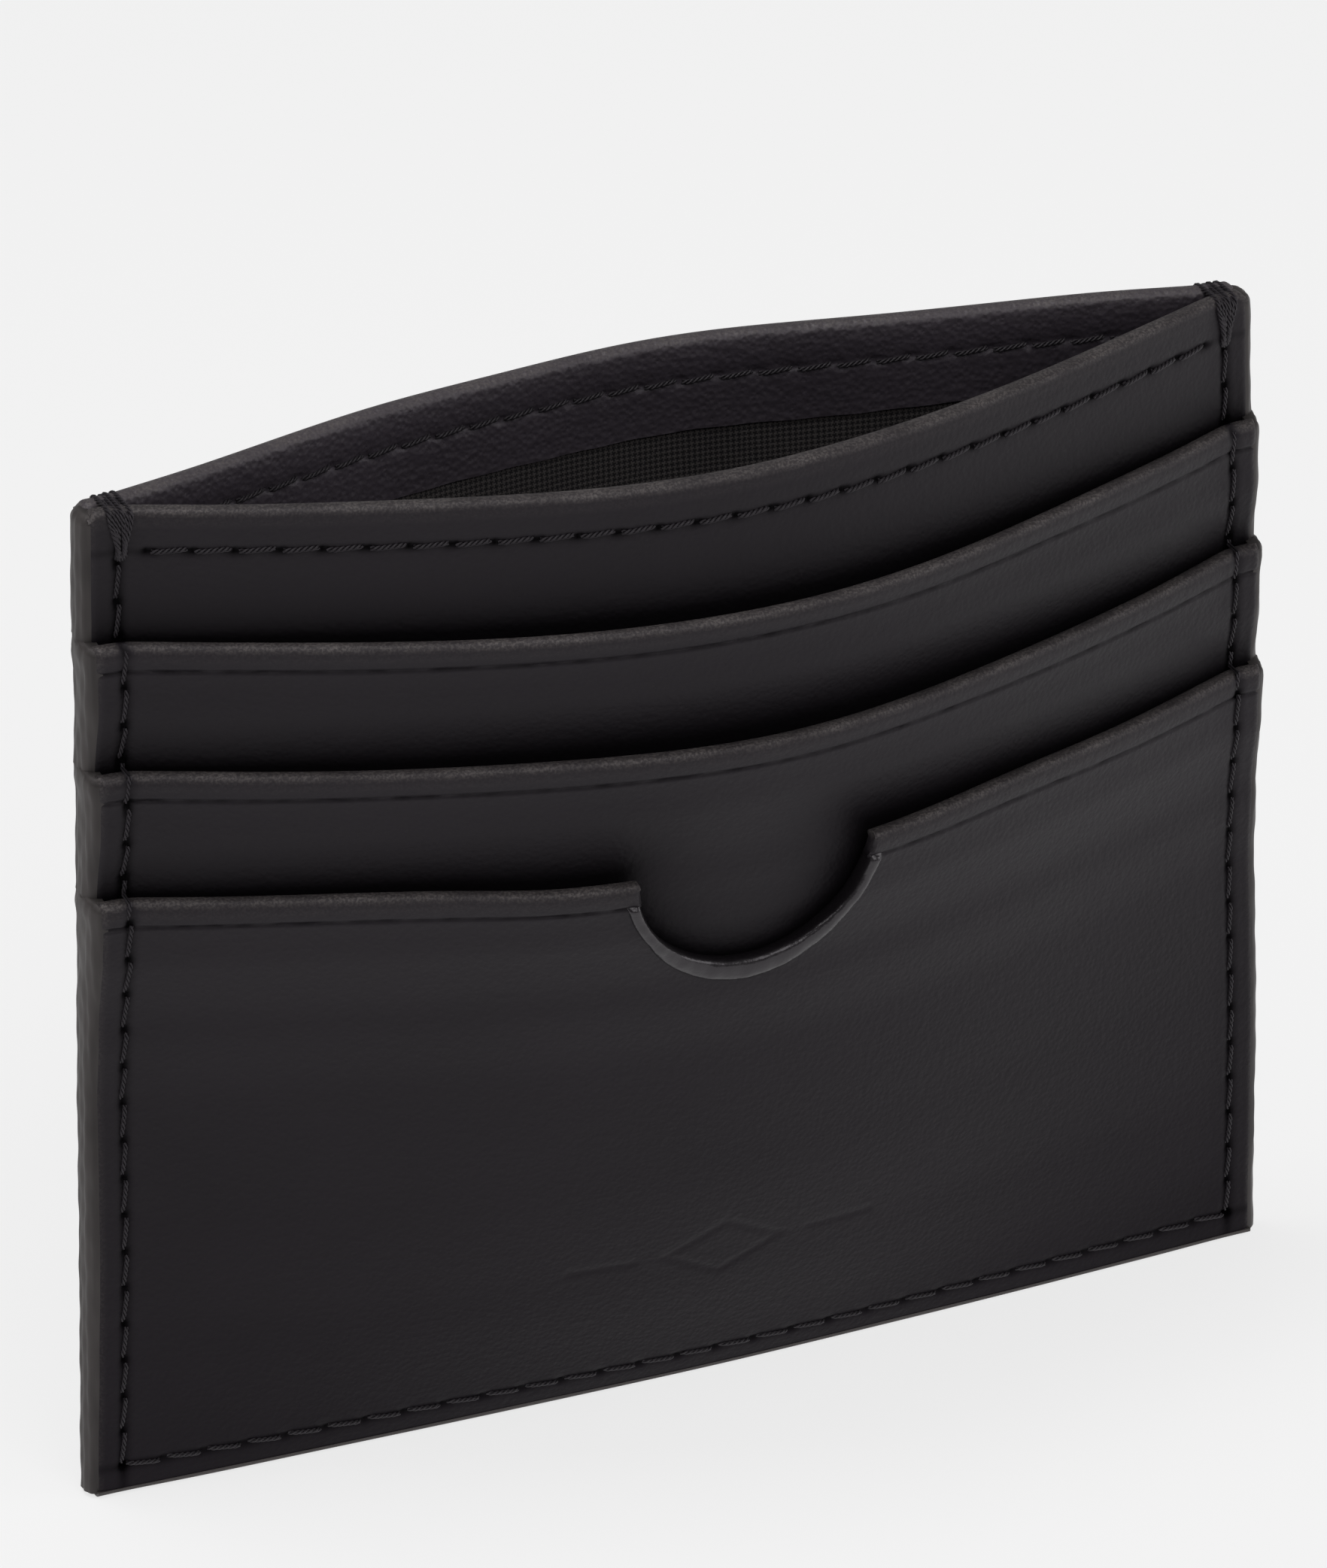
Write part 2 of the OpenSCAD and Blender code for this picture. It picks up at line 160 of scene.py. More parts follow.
HEM_EASE, MOUTH_HEM_EASE = 5, 13     # lengths over which the face in front settles over a hidden end
BACKING_EASE, SEAM_EASE, STEP_EASE = 10, 11, 6       # the same over cloth, a seam and a leather end
SKIVE = 7                            # length over which a tier's hidden low end is pared down
THREAD_ROOM = 0.25                   # room that a hidden seam takes between the layers


def slot_layers(i):
    """One card slot's layers: its cloth, the seam at its bottom, its turned hem and its leather."""
    low, high = BACKING_SPAN[i]
    return [
        (f"backing{i}", CLOTH_T, low - BACKING_EASE, BACKING_EASE, high + 3, 3),
        (f"thread{i}", THREAD_ROOM, low - BACKING_EASE, SEAM_EASE, low + 3 + SEAM_EASE, SEAM_EASE),
        (f"hem{i}", SKIVED_T, LIPS[i] - LIP_HEM - HEM_EASE, HEM_EASE, LIPS[i], 0),
        (f"leather{i}", LEATHER_T, LEATHER_LOW[i], SKIVE, LIPS[i], 0),
    ]


# Name, thickness, low end, height over which it thins out there, top, thinning there.
LAYERS = {
    REAR: [
        ("mouth_hem", SKIVED_T, BODY_H - MOUTH_HEM - MOUTH_HEM_EASE, MOUTH_HEM_EASE, BODY_H, 0),
        ("lining", CLOTH_T, FOOT, 0, BODY_H, 0),
        ("leather", LEATHER_T, FOOT, 0, BODY_H, 0),
    ],
    FRONT: [
        ("mouth_hem", SKIVED_T, BODY_H - MOUTH_HEM - MOUTH_HEM_EASE, MOUTH_HEM_EASE, BODY_H, 0),
        ("lining", CLOTH_T, FOOT, 0, BODY_H, 0),
        ("backing0", CLOTH_T, FOOT, 0, BACKING_SPAN[0][1] + 3, 3),
        ("leather0", LEATHER_T, LEATHER_LOW[0], SKIVE, BODY_H, 0),
        *slot_layers(1),
        *slot_layers(2),
        ("hem3", SKIVED_T, LIPS[3] - LIP_HEM - HEM_EASE, HEM_EASE, LIPS[3], 0),
        ("leather3", LEATHER_T, FOOT, 0, LIPS[3], 0),
    ],
}


def layer_index(side, name):
    return [entry[0] for entry in LAYERS[side]].index(name)


def thickness(side, k, z):
    """Thickness of layer k at height z, thinned at its ends as skived leather is."""
    _, t, low, thin_low, top, thin_top = LAYERS[side][k]
    share = np.where(z <= top + 1e-6, 1.0, 0.0)
    if t == LEATHER_T and thin_low:
        # a tier ends at 45% of its thickness, and the face in front settles over that step
        share = share * (0.45 * ramp((z - low + STEP_EASE) / STEP_EASE) + 0.55 * ramp((z - low) / thin_low))
    else:
        share = share * (ramp((z - low) / thin_low) if thin_low else np.where(z >= low - 1e-6, 1.0, 0.0))
    if thin_top:
        share = share * ramp((top - z) / thin_top)
    return t * share


def depth_of(side, k, z):
    """Depth of the inner face of layer k."""
    z = np.asarray(z, float)
    return sum((thickness(side, j, z) for j in range(k)), np.zeros_like(z))


def flare(side, k, z):
    """Stand-off of layer k from the tier behind, growing towards each pocket lip."""
    z = np.asarray(z, float)
    total = np.zeros_like(z)
    if side == REAR:
        return total
    length = 10
    for i, first in ((1, "backing1"), (2, "backing2"), (3, "hem3")):
        if k >= layer_index(FRONT, first):
            total = total + LIP_GAP[i] * np.clip((z - LIPS[i] + length) / length, 0, 1) ** 2
    return total


def skin_depth(side, z):
    """Depth and stand-off of the outermost face that shows at each height."""
    z = np.asarray(z, float)
    if side == REAR:
        return depth_of(REAR, 3, z), np.zeros_like(z)
    last = layer_index(FRONT, "leather3")
    depth, gap = depth_of(FRONT, last + 1, z), flare(FRONT, last, z)
    for i in (3, 2, 1):
        k = layer_index(FRONT, f"leather{i - 1}")
        above = z > LIPS[i]
        depth = np.where(above, depth_of(FRONT, k + 1, z), depth)
        gap = np.where(above, flare(FRONT, k, z), gap)
    return depth, gap


# ---- seams ----

SEAM_Z = FOOT + SEAM_INSET
SIDE_STEPS = round((BODY_H - TACK_H - SEAM_Z) / STITCH_PITCH)
FOOT_STEPS = round(2 * (half_w(SEAM_Z) - SEAM_INSET) / STITCH_PITCH)
MOUTH_STEPS = round(2 * (half_w(BODY_H) - SEAM_INSET - 2) / MOUTH_PITCH)
SIDE_HOLES = np.linspace(SEAM_Z, BODY_H - TACK_H, SIDE_STEPS + 1)
FOOT_HOLES = np.linspace(-1, 1, FOOT_STEPS + 1) * (half_w(SEAM_Z) - SEAM_INSET)
MOUTH_Z = BODY_H - MOUTH_INSET
MOUTH_HOLES = np.linspace(-1, 1, MOUTH_STEPS + 1) * (half_w(MOUTH_Z) - SEAM_INSET - 2)

EDGE_ROUND = 0.55        # rounding of the face at a cut edge
EDGE_FALL = 0.14         # how far the faces fall away from the seam to the cut edge


def nearest(values, at):
    """Distance from each place to the nearest of the values."""
    values = np.sort(values)
    i = np.clip(np.searchsorted(values, at), 1, len(values) - 1)
    return np.minimum(np.abs(at - values[i - 1]), np.abs(at - values[i]))


def row_relief(across, along, channel, hole):
    """A channel (depth, half width) and dimples at the needle holes (depth, half width, half length)."""
    return (-channel[0] * hump(across / channel[1])
            - hole[0] * hump(across / hole[1]) * hump(along / hole[2]))


def seam_relief(x, z):
    """The row round the sides and the bottom, and the rounded cut edges beside it."""
    channel, hole = (0.12, 0.42), (0.26, 0.28, 0.40)
    across = half_w(z) - SEAM_INSET - np.abs(x)
    along_side = ramp((BODY_H - 2 - z) / 2) * ramp(z - SEAM_Z + 1)
    to_hole = nearest(SIDE_HOLES, z)
    swelling = 0.035 * hump((np.abs(across) - 0.75) / 0.35) * (1 - hump(to_hole / 0.8))
    side = (row_relief(across, to_hole, channel, hole) + swelling) * along_side
    inside = np.where(np.abs(x) < half_w(z) - SEAM_INSET + 0.3, 1.0, 0.0)
    low = row_relief(z - SEAM_Z, nearest(FOOT_HOLES, x), channel, hole) * inside
    edge = np.clip(1 - (half_w(z) - np.abs(x)) / EDGE_ROUND, 0, 1)
    rounding = EDGE_ROUND * 0.8 * (1 - np.sqrt(1 - np.minimum(edge, 0.995) ** 2))
    out = np.clip(np.abs(x) - half_w(z) + SEAM_INSET, 0, SEAM_INSET) / SEAM_INSET
    return side + low - rounding - EDGE_FALL * out * out


def mouth_relief(x, z):
    """The row under the mouth, with the turned hem a little fuller above it."""
    up = z - MOUTH_Z
    inside = ramp((half_w(z) - SEAM_INSET - 1.4 - np.abs(x)) / 0.6)
    row = row_relief(up, nearest(MOUTH_HOLES, x), (0.07, 0.5), (0.28, 0.30, 0.42))
    return inside * (row + 0.06 * hump((up - 1.5) / 0.9))


def crease_relief(x, z, lip):
    """The line pressed under a pocket lip, with the turned hem a little fuller above it."""
    line = lip - CREASE_DROP + 0.03 * np.sin(x * 0.31 + lip)
    depth = 0.20 * (0.8 + 0.2 * np.sin(x * 1.9 + lip) * np.sin(x * 0.83 + 2))
    return -depth * hump((z - line) / 0.15) + 0.16 * hump((z - lip + 1.05) / 0.75)


MARK_Z = 14.0
MARK_DEPTH, MARK_LINE = 0.10, 0.30
LOZENGE_HALF_W, LOZENGE_HALF_H = 4.6, 2.5
BAR_X, BAR_HALF_W = 9.6, 2.6


def mark_relief(x, z):
    """A plain lozenge between two bars, pressed into the front pocket."""
    lozenge = np.abs(np.abs(x) / LOZENGE_HALF_W + np.abs(z - MARK_Z) / LOZENGE_HALF_H - 1) * 2.2
    bar = np.maximum(np.abs(np.abs(x) - BAR_X) - BAR_HALF_W, 0) + np.abs(z - MARK_Z)
    return -MARK_DEPTH * np.maximum(hump(lozenge / MARK_LINE), hump(bar / MARK_LINE))


# ---- meshes ----

def levels(low, high, step, fine=()):
    """Values from low to high, closer together in the fine stretches (middle, half length, step)."""
    values = set(np.round(np.linspace(low, high, max(2, round((high - low) / step) + 1)), 3))
    for middle, reach, small in fine:
        near = np.arange(middle - reach, middle + reach + small / 2, small)
        near = near[(near > low) & (near < high)]
        if len(near):
            start, end = near[0] - small * 0.6, near[-1] + small * 0.6
            values = {v for v in values if v <= start or v >= end or v in (low, high)}
            values |= set(np.round(near, 3))
    return np.array(sorted(values | {round(low, 3), round(high, 3)}))


def width_shares(step, extra=()):
    """Columns across a wall, as shares of its half width, closer together along the side seams."""
    middle = half_w(BODY_H / 2)
    seam = middle - SEAM_INSET
    fine = [(hand * at, reach, small) for hand in (-1, 1)
            for at, reach, small in ((seam, 0.9, 0.18), (middle - 0.4, 0.4, 0.1))]
    fine += extra
    return levels(-middle, middle, step, fine) / middle


def new_piece(name, verts, faces, material, node, tone_and_painted_light=None, sharp=50):
    """A finished piece from points in millimetres, which stands for one CAD node."""
    mesh = bpy.data.meshes.new(name)
    mesh.from_pydata((np.asarray(verts) * MM).tolist(), [], faces)
    tidy = bmesh.new()
    tidy.from_mesh(mesh)
    bmesh.ops.recalc_face_normals(tidy, faces=tidy.faces)
    tidy.to_mesh(mesh)
    tidy.free()
    mesh.shade_smooth()
    mesh.set_sharp_from_angle(angle=math.radians(sharp))
    # the per-point tone holds rubbed wear and paint thinning, and painted light: painted highlight on
    # turned edges, painted shade in creases, needle holes, seam channels and above pocket lips
    tone_and_painted_light = np.zeros(len(verts)) if tone_and_painted_light is None else np.asarray(tone_and_painted_light, float)
    mesh.attributes.new("tone_and_painted_light", "FLOAT", "POINT").data.foreach_set("value", tone_and_painted_light)
    mesh.materials.append(material)
    piece = bpy.data.objects.new(name, mesh)
    bpy.context.scene.collection.objects.link(piece)
    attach(piece, "root")
    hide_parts(node)
    return piece


def loop_faces(rows, cols, skip=None):
    """Quads of a sheet whose section is a loop of rows, swept over cols, and its two end faces."""
    i, j = np.meshgrid(np.arange(rows), np.arange(cols - 1), indexing="ij")
    a = i * cols + j
    b = ((i + 1) % rows) * cols + j
    quads = np.stack([a, a + 1, b + 1, b], -1)
    keep = np.ones(a.shape, bool) if skip is None else ~skip
    faces = quads[keep].tolist()
    faces.append([r * cols for r in range(rows)])
    faces.append([r * cols + cols - 1 for r in reversed(range(rows))])
    return faces


def tube_faces(rings, around):
    """Quads of rings of points joined one to the next, and the two end faces."""
    i, j = np.meshgrid(np.arange(rings - 1), np.arange(around), indexing="ij")
    a, b = i * around + j, i * around + (j + 1) % around
    faces = np.stack([a, b, b + around, a + around], -1).reshape(-1, 4).tolist()
    last = (rings - 1) * around
    return faces + [list(range(around)), [last + j for j in reversed(range(around))]]


def nose(lip, inner, outer, steps=7):
    """Heights and depths of a rounded turned edge, from its outer face over to its inner one."""
    turn = np.linspace(0, math.pi, steps + 2)[1:-1]
    z = lip - NOSE_R + NOSE_R * np.sin(turn) ** 0.85
    mid, half = (inner + outer) / 2, (outer - inner) / 2
    return z, mid + half * np.sign(np.cos(turn)) * np.abs(np.cos(turn)) ** 0.8


def opening_reach(i, x, z):
    """Distance up a tier from the lip of the next pocket, or in from the rim of the notch."""
    if i == 3:
        return np.full(np.broadcast(x, z).shape, 99.0)
    reach = z - LIPS[i + 1] + 0 * x
    if i == 2:
        aside = NOTCH_R - np.abs(x - NOTCH_X)
        in_notch = NOTCH_R - np.hypot(x - NOTCH_X, z - NOTCH_Z)
        above = np.hypot(np.maximum(aside, 0), np.maximum(z - LIPS[3], 0))
        reach = np.where(aside > 0, np.where(z < NOTCH_Z, in_notch, above), reach)
    return reach


def face_tone_and_painted_light(i, x, z):
    """Tone on a tier's face with painted light: up to 1 on its turned edge, as rubbed wear and painted
    highlight, and below 0 where shade is painted in its crease, seam rows and needle holes and just above
    the next lip.
    """
    lip = LIPS[i]
    # the hem band above the crease is a little lighter, as painted sheen
    tone = 0.12 * ramp((z - lip + CREASE_DROP - 0.3) / 0.6)
    # the turned edge is lighter in uneven patches: rubbed wear and painted highlight
    uneven = 0.75 + 0.25 * np.sin(x * 0.8 + lip) * np.sin(x * 0.37)
    tone = tone + 0.9 * ramp((z - lip + 0.55) / 0.4) * uneven
    # painted shade on the face just above the next pocket's lip and round the notch, fading over a few
    # millimetres
    tone = tone - 0.8 * np.exp(-np.clip(opening_reach(i, x, z), 0, 99) / 2.8)
    tone = tone + 0.30 * ramp((np.abs(x) - half_w(z) + 0.8) / 0.8)
    # painted shade in the side seam's channel, darker still at its needle holes
    across = half_w(z) - SEAM_INSET - np.abs(x)
    tone = tone - 0.5 * hump(across / 0.4) - 0.7 * hump(across / 0.35) * hump(nearest(SIDE_HOLES, z) / 0.45)
    if i:
        # painted shade along the crease line, broken in places
        broken = 0.5 + 0.5 * np.sin(x * 0.9 + lip) * np.sin(x * 2.3 + 1)
        tone = tone - 0.55 * broken * hump((z - lip + CREASE_DROP) / 0.16)
    else:
        # painted shade along the mouth's stitch row, darkest at its needle holes
        up = (z - MOUTH_Z) / 0.3
        tone = tone - (0.3 + 0.9 * hump(nearest(MOUTH_HOLES, x) / 0.45)) * hump(up)
    if i == 3:
        # painted shade along the bottom stitch row, darkest at its needle holes
        up = (z - SEAM_Z) / 0.35
        tone = tone - (0.4 + 0.4 * hump(nearest(FOOT_HOLES, x) / 0.4)) * hump(up)
    return np.clip(tone, -1, 1)


def cloth_layer(side, name, low, high, shares):
    """A plain layer of cloth: a thin closed sheet."""
    k = layer_index(side, name)
    z = levels(low, high, 0.8)
    inner = depth_of(side, k, z)
    z_loop = np.r_[z, z[::-1]][:, None]
    d_loop = np.r_[inner + CLOTH_T - 0.01, inner[::-1] + 0.01][:, None]
    grid = wall_at(side, shares * half_w(z_loop), z_loop, d_loop, flare(side, k, z_loop))
    return grid.reshape(-1, 3), loop_faces(len(z_loop), len(shares))


def lip_warp(i, x):
    """How far a lip wanders from its straight line."""
    u = x / half_w(LIPS[i])
    waver = 0.10 * np.sin(3.1 * u + i) + 0.06 * np.sin(8.7 * u + 2 * i)
    if i == 3:
        waver = waver - 0.35 * hump((u + 0.34) / 0.13) + 0.55 * hump((u - 0.48) / 0.2)
    return waver * ramp((1 - np.abs(u)) / 0.25)


def near_lip(i, z):
    """1 at a lip, fading to 0 below the stretch that its wandering moves."""
    return ramp((z - LIPS[i] + 9) / 9)


def pocket_sheet(i, low, fine_z=(), fine_x=(), step=0.45):
    """A pocket tier's leather, turned over at its lip: shares, and the loop's heights, depths and gaps."""
    lip = LIPS[i]
    k_out, k_in = layer_index(FRONT, f"leather{i}"), layer_index(FRONT, f"hem{i}")
    shares = width_shares(step, fine_x)
    z = levels(low, lip - NOSE_R, step, [(lip - CREASE_DROP, 0.45, 0.09), *fine_z])
    inner = depth_of(FRONT, k_in, z)
    outer = np.maximum(depth_of(FRONT, k_out + 1, z), inner + THINNEST)
    nose_z, nose_d = nose(lip, inner[-1], outer[-1])
    z_loop = np.r_[z, nose_z, z[::-1]]
    d_loop = np.r_[outer, nose_d, inner[::-1]]
    gap = flare(FRONT, k_out, z_loop)
    x = shares[None, :] * half_w(z_loop)[:, None]
    relief = crease_relief(x, z_loop[:, None], lip) + seam_relief(x, z_loop[:, None])
    if i == 3:
        relief = relief + mark_relief(x, z_loop[:, None])
    relief[len(z) + 3:] = 0
    return shares, z_loop, d_loop[:, None] + relief, gap, len(z)


def finish_pocket(i, shares, z_loop, depth, gap, x=None):
    """A tier's points and its tone with painted light; x is given where the columns don't keep to their
    shares.
    """
    z_grid = np.broadcast_to(z_loop[:, None], depth.shape)
    x = shares[None, :] * half_w(z_grid) if x is None else x
    z_grid = z_grid + lip_warp(i, x) * near_lip(i, z_grid)
    points = wall_at(FRONT, x, z_grid, depth, gap[:, None])
    tone_and_painted_light = face_tone_and_painted_light(i, x, z_loop[:, None])
    return points.reshape(-1, 3), tone_and_painted_light.reshape(-1)


def turned_sheet(side, name, low, step=0.45):
    """A wall whose top is turned in as a hem round the mouth, down to the hem's raw edge."""
    k = layer_index(side, name)
    shares = width_shares(step)
    z = levels(low, BODY_H - NOSE_R, step, [(MOUTH_Z, 0.6, 0.15)])
    flap = z[z > BODY_H - MOUTH_HEM]
    inner = depth_of(side, k, z)
    outer = inner + np.maximum(thickness(side, k, z), THINNEST)
    nose_z, nose_d = nose(BODY_H, 0.0, outer[-1])
    back = np.interp(flap, [flap[0], flap[0] + 1.5], [0.1, SKIVED_T])
    z_loop = np.r_[z, nose_z, flap[::-1], flap[:-3], z[:-3][::-1]]
    d_loop = np.r_[outer, nose_d, np.full(len(flap), 0.0), back[:-3], inner[:-3][::-1]]
    gap = flare(side, k, z_loop)
    x = shares[None, :] * half_w(z_loop)[:, None]
    relief = np.zeros_like(x)
    face = slice(0, len(z))
    hem = slice(len(z) + len(nose_z), len(z) + len(nose_z) + len(flap))
    relief[face] = (mouth_relief(x, z_loop[:, None]) + seam_relief(x, z_loop[:, None]))[face]
    relief[hem] = -mouth_relief(x, z_loop[:, None])[hem]
    edge = 0.06 * np.sin(x * 0.31) + 0.03 * np.sin(x * 1.3 + 1)
    z_grid = np.broadcast_to(z_loop[:, None], x.shape).copy()
    under = slice(hem.start, hem.stop + len(flap) - 3)
    z_grid[under] += (edge * ramp((BODY_H - 4 - z_loop[:, None]) / 3))[under]
    z_grid += lip_warp(0, x) * near_lip(0, z_grid)
    corner = ramp((CORNER_W - half_w(z_grid) + np.abs(x)) / CORNER_W)
    z_grid -= CORNER_FALL * corner * corner * ramp((z_grid - BODY_H + 1.6) / 1.6)
    points = wall_at(side, x, z_grid, d_loop[:, None] + relief, gap[:, None])
    # no tier lies over the rear wall, so its tone stops changing a little above the first lip, which keeps
    # the painted shade above a lip off it
    tone_z = z_loop if side == FRONT else np.maximum(z_loop, LIPS[1] + 8)
    tone_and_painted_light = face_tone_and_painted_light(0, x, tone_z[:, None])
    tone_and_painted_light[hem] += 0.7 * ramp((BODY_H - MOUTH_HEM + 0.4 - z_loop[hem]) / 0.4)[:, None]
    return points.reshape(-1, 3), loop_faces(len(z_loop), len(shares)), tone_and_painted_light.reshape(-1)


# ---- materials ----

class Nodes:
    """Short names for building a material's nodes."""

    def __init__(self, name):
        self.material = bpy.data.materials.new(name)
        self.material.use_nodes = True
        self.tree = self.material.node_tree
        self.surface = self.tree.nodes["Principled BSDF"]
        self.where = self.add("ShaderNodeTexCoord").outputs["Object"]

    def add(self, kind, **values):
        node = self.tree.nodes.new(kind)
        for key, value in values.items():
            setattr(node, key, value)
        return node

    def link(self, a, b):
        self.tree.links.new(a, b)

    def noise(self, scale, detail=3.0, roughness=0.55, where=None):
        node = self.add("ShaderNodeTexNoise")
        self.link(where or self.where, node.inputs["Vector"])
        node.inputs["Scale"].default_value = scale
        node.inputs["Detail"].default_value = detail
        node.inputs["Roughness"].default_value = roughness
        return node.outputs["Fac"]

    def cells(self, scale, feature="F1", smooth=None):
        node = self.add("ShaderNodeTexVoronoi", feature=feature)
        self.link(self.where, node.inputs["Vector"])
        node.inputs["Scale"].default_value = scale
        if smooth is not None:
            node.inputs["Smoothness"].default_value = smooth
        return node.outputs["Distance"]

    def colours(self, factor, *stops):
        node = self.add("ShaderNodeValToRGB")
        self.link(factor, node.inputs["Fac"])
        marks = node.color_ramp.elements
        for mark, (place, colour) in zip(list(marks), (stops[0], stops[-1])):
            mark.position = place
            mark.color = (*colour, 1)
        for place, colour in stops[1:-1]:
            marks.new(place).color = (*colour, 1)
        return node.outputs["Color"]

    def span(self, factor, low, high, start=0.0, end=1.0):
        node = self.add("ShaderNodeMapRange")
        self.link(factor, node.inputs["Value"])
        for key, value in (("From Min", start), ("From Max", end), ("To Min", low), ("To Max", high)):
            node.inputs[key].default_value = value
        return node.outputs["Result"]

    def math(self, operation, a, b):
        node = self.add("ShaderNodeMath", operation=operation)
        for socket, value in zip(node.inputs, (a, b)):
            if isinstance(value, (int, float)):
                socket.default_value = value
            else:
                self.link(value, socket)
        return node.outputs["Value"]

    def mix(self, a, b, share=0.5):
        """The first value's share and the rest of the second."""
        return self.math("ADD", self.math("MULTIPLY", a, share), self.math("MULTIPLY", b, 1 - share))

    def blend(self, factor, base, colour):
        node = self.add("ShaderNodeMix", data_type="RGBA")
        self.link(factor, node.inputs[0])
        self.link(base, node.inputs[6])
        node.inputs[7].default_value = (*colour, 1)
        return node.outputs[2]

    # reads the per-point tone, painted highlight and painted shade included
    def tone_and_painted_light(self):
        return self.add("ShaderNodeAttribute", attribute_name="tone_and_painted_light").outputs["Fac"]

    def bump(self, height, distance, strength=1.0, after=None):
        node = self.add("ShaderNodeBump")
        self.link(height, node.inputs["Height"])
        node.inputs["Distance"].default_value = distance * MM
        node.inputs["Strength"].default_value = strength
        if after:
            self.link(after, node.inputs["Normal"])
        return node.outputs["Normal"]

    def done(self, colour, roughness, normal=None, specular=0.5, sheen=0.0, tint=(1, 0.95, 1, 1)):
        self.link(colour, self.surface.inputs["Base Color"])
        self.link(roughness, self.surface.inputs["Roughness"])
        if normal:
            self.link(normal, self.surface.inputs["Normal"])
        if isinstance(specular, float):
            self.surface.inputs["Specular IOR Level"].default_value = specular
        else:
            self.link(specular, self.surface.inputs["Specular IOR Level"])
        self.surface.inputs["Specular Tint"].default_value = tint
        self.surface.inputs["Sheen Weight"].default_value = sheen
        return self.material


def grey(value):
    """A near-black with the faint purple cast of dyed leather."""
    return value * 1.16, value * 0.96, value * 1.2


def warm_grey(value):
    """A near-black with a faint brown cast, of rubbed leather and its painted highlight, and of paint."""
    return value * 1.12, value, value * 0.97


def leather(name, tone=0.0092, grain=1.0, rough=0.5, shine=0.22, rubbed_and_highlight=9.5):
    """Black calf leather: fine pebbled grain and slow tone changes. A turned edge is lighter in speckles,
    as rubbed wear and painted highlight; where the tone is below 0 the face is painted darker and less
    shiny, as painted shade in creases, needle holes, seam channels and just above the next pocket's lip.
    Its shine also lessens towards the bottom."""
    n = Nodes(name)
    slow = n.noise(55, 3)
    base = n.colours(slow, (0.3, grey(tone * 0.86)), (0.7, grey(tone * 1.16)))
    speckle = n.noise(5200, 2, 0.6)
    tone_and_painted_light = n.tone_and_painted_light()
    rubbed_and_painted_highlight, painted_shade = n.span(tone_and_painted_light, 0.0, 1.0), n.span(tone_and_painted_light, 0.0, 1.0, 0.0, -1.0)
    spots = n.span(speckle, 0.0, 1.0, 0.42, 0.66)
    # turned edges are blended in speckles towards a lighter colour: rubbed wear and painted highlight
    base = n.blend(n.math("MULTIPLY", rubbed_and_painted_highlight, n.span(spots, 0.3, 1.0)), base, warm_grey(tone * rubbed_and_highlight))
    # painted shade: near-black where the tone is below 0
    base = n.blend(painted_shade, base, grey(tone * 0.12))
    apart = n.add("ShaderNodeSeparateXYZ")
    n.link(n.where, apart.inputs["Vector"])
    gloss = n.span(apart.outputs["Z"], 0.35 * shine, shine, 0.002, 0.045)
    # the shine is cut where shade is painted, as painted shade on the reflections too
    gloss = n.math("MULTIPLY", gloss, n.span(painted_shade, 1.0, 0.1))
    pebbles = n.cells(2300, "SMOOTH_F1", 0.6)
    pores = n.noise(4300, 3, 0.6)
    creases = n.cells(900, "F1")
    height = n.math("ADD", n.math("MULTIPLY", pebbles, 0.9 * grain), n.math("MULTIPLY", pores, 0.7))
    normal = n.bump(height, 0.035)
    normal = n.bump(creases, 0.02 * grain, 0.8, normal)
    roughness = n.span(n.mix(pores, slow), rough - 0.08, rough + 0.08, 0.3, 0.7)
    return n.done(base, roughness, normal, specular=gloss)


def woven(name, pitch=0.21, tone=0.017):
    """Plain weave: threads across and along, over and under in turn."""
    n = Nodes(name)
    waves = []
    for axis in ("X", "Z"):
        wave = n.add("ShaderNodeTexWave", bands_direction=axis, wave_profile="SIN")
        n.link(n.where, wave.inputs["Vector"])
        wave.inputs["Scale"].default_value = 2 * math.pi / (20 * pitch * MM) / 2
        waves.append(wave.outputs["Fac"])
    checker = n.add("ShaderNodeTexChecker")
    n.link(n.where, checker.inputs["Vector"])
    checker.inputs["Scale"].default_value = 1 / (pitch * MM)
    over = checker.outputs["Fac"]
    under = n.math("SUBTRACT", 1.0, over)
    height = n.math("ADD", n.math("MULTIPLY", waves[0], over), n.math("MULTIPLY", waves[1], under))
    fuzz = n.noise(9000, 2)
    slow = n.noise(90, 2)
    # the colour follows the weave's height: thread crowns painted lighter as painted highlight and hollows
    # darker as painted shade, with a slow random tone
    shade = n.mix(height, slow, 0.75)
    colour = n.colours(shade, (0.2, grey(tone * 0.2)), (0.9, warm_grey(tone * 3.0)))
    normal = n.bump(n.math("ADD", height, n.math("MULTIPLY", fuzz, 0.3)), 0.06)
    return n.done(colour, n.span(fuzz, 0.75, 0.95), normal, specular=0.25, sheen=0.05)


def thread_material(name, tone=0.011):
    """Waxed thread: fine fibres over the plies that the mesh has."""
    n = Nodes(name)
    fibres = n.noise(7000, 3, 0.65)
    slow = n.noise(300, 2)
    colour = n.colours(n.mix(fibres, slow, 0.6), (0.3, grey(tone * 0.6)), (0.72, grey(tone * 1.5)))
    return n.done(colour, n.span(fibres, 0.38, 0.6), n.bump(fibres, 0.02, 0.8), specular=0.36, sheen=0.04)


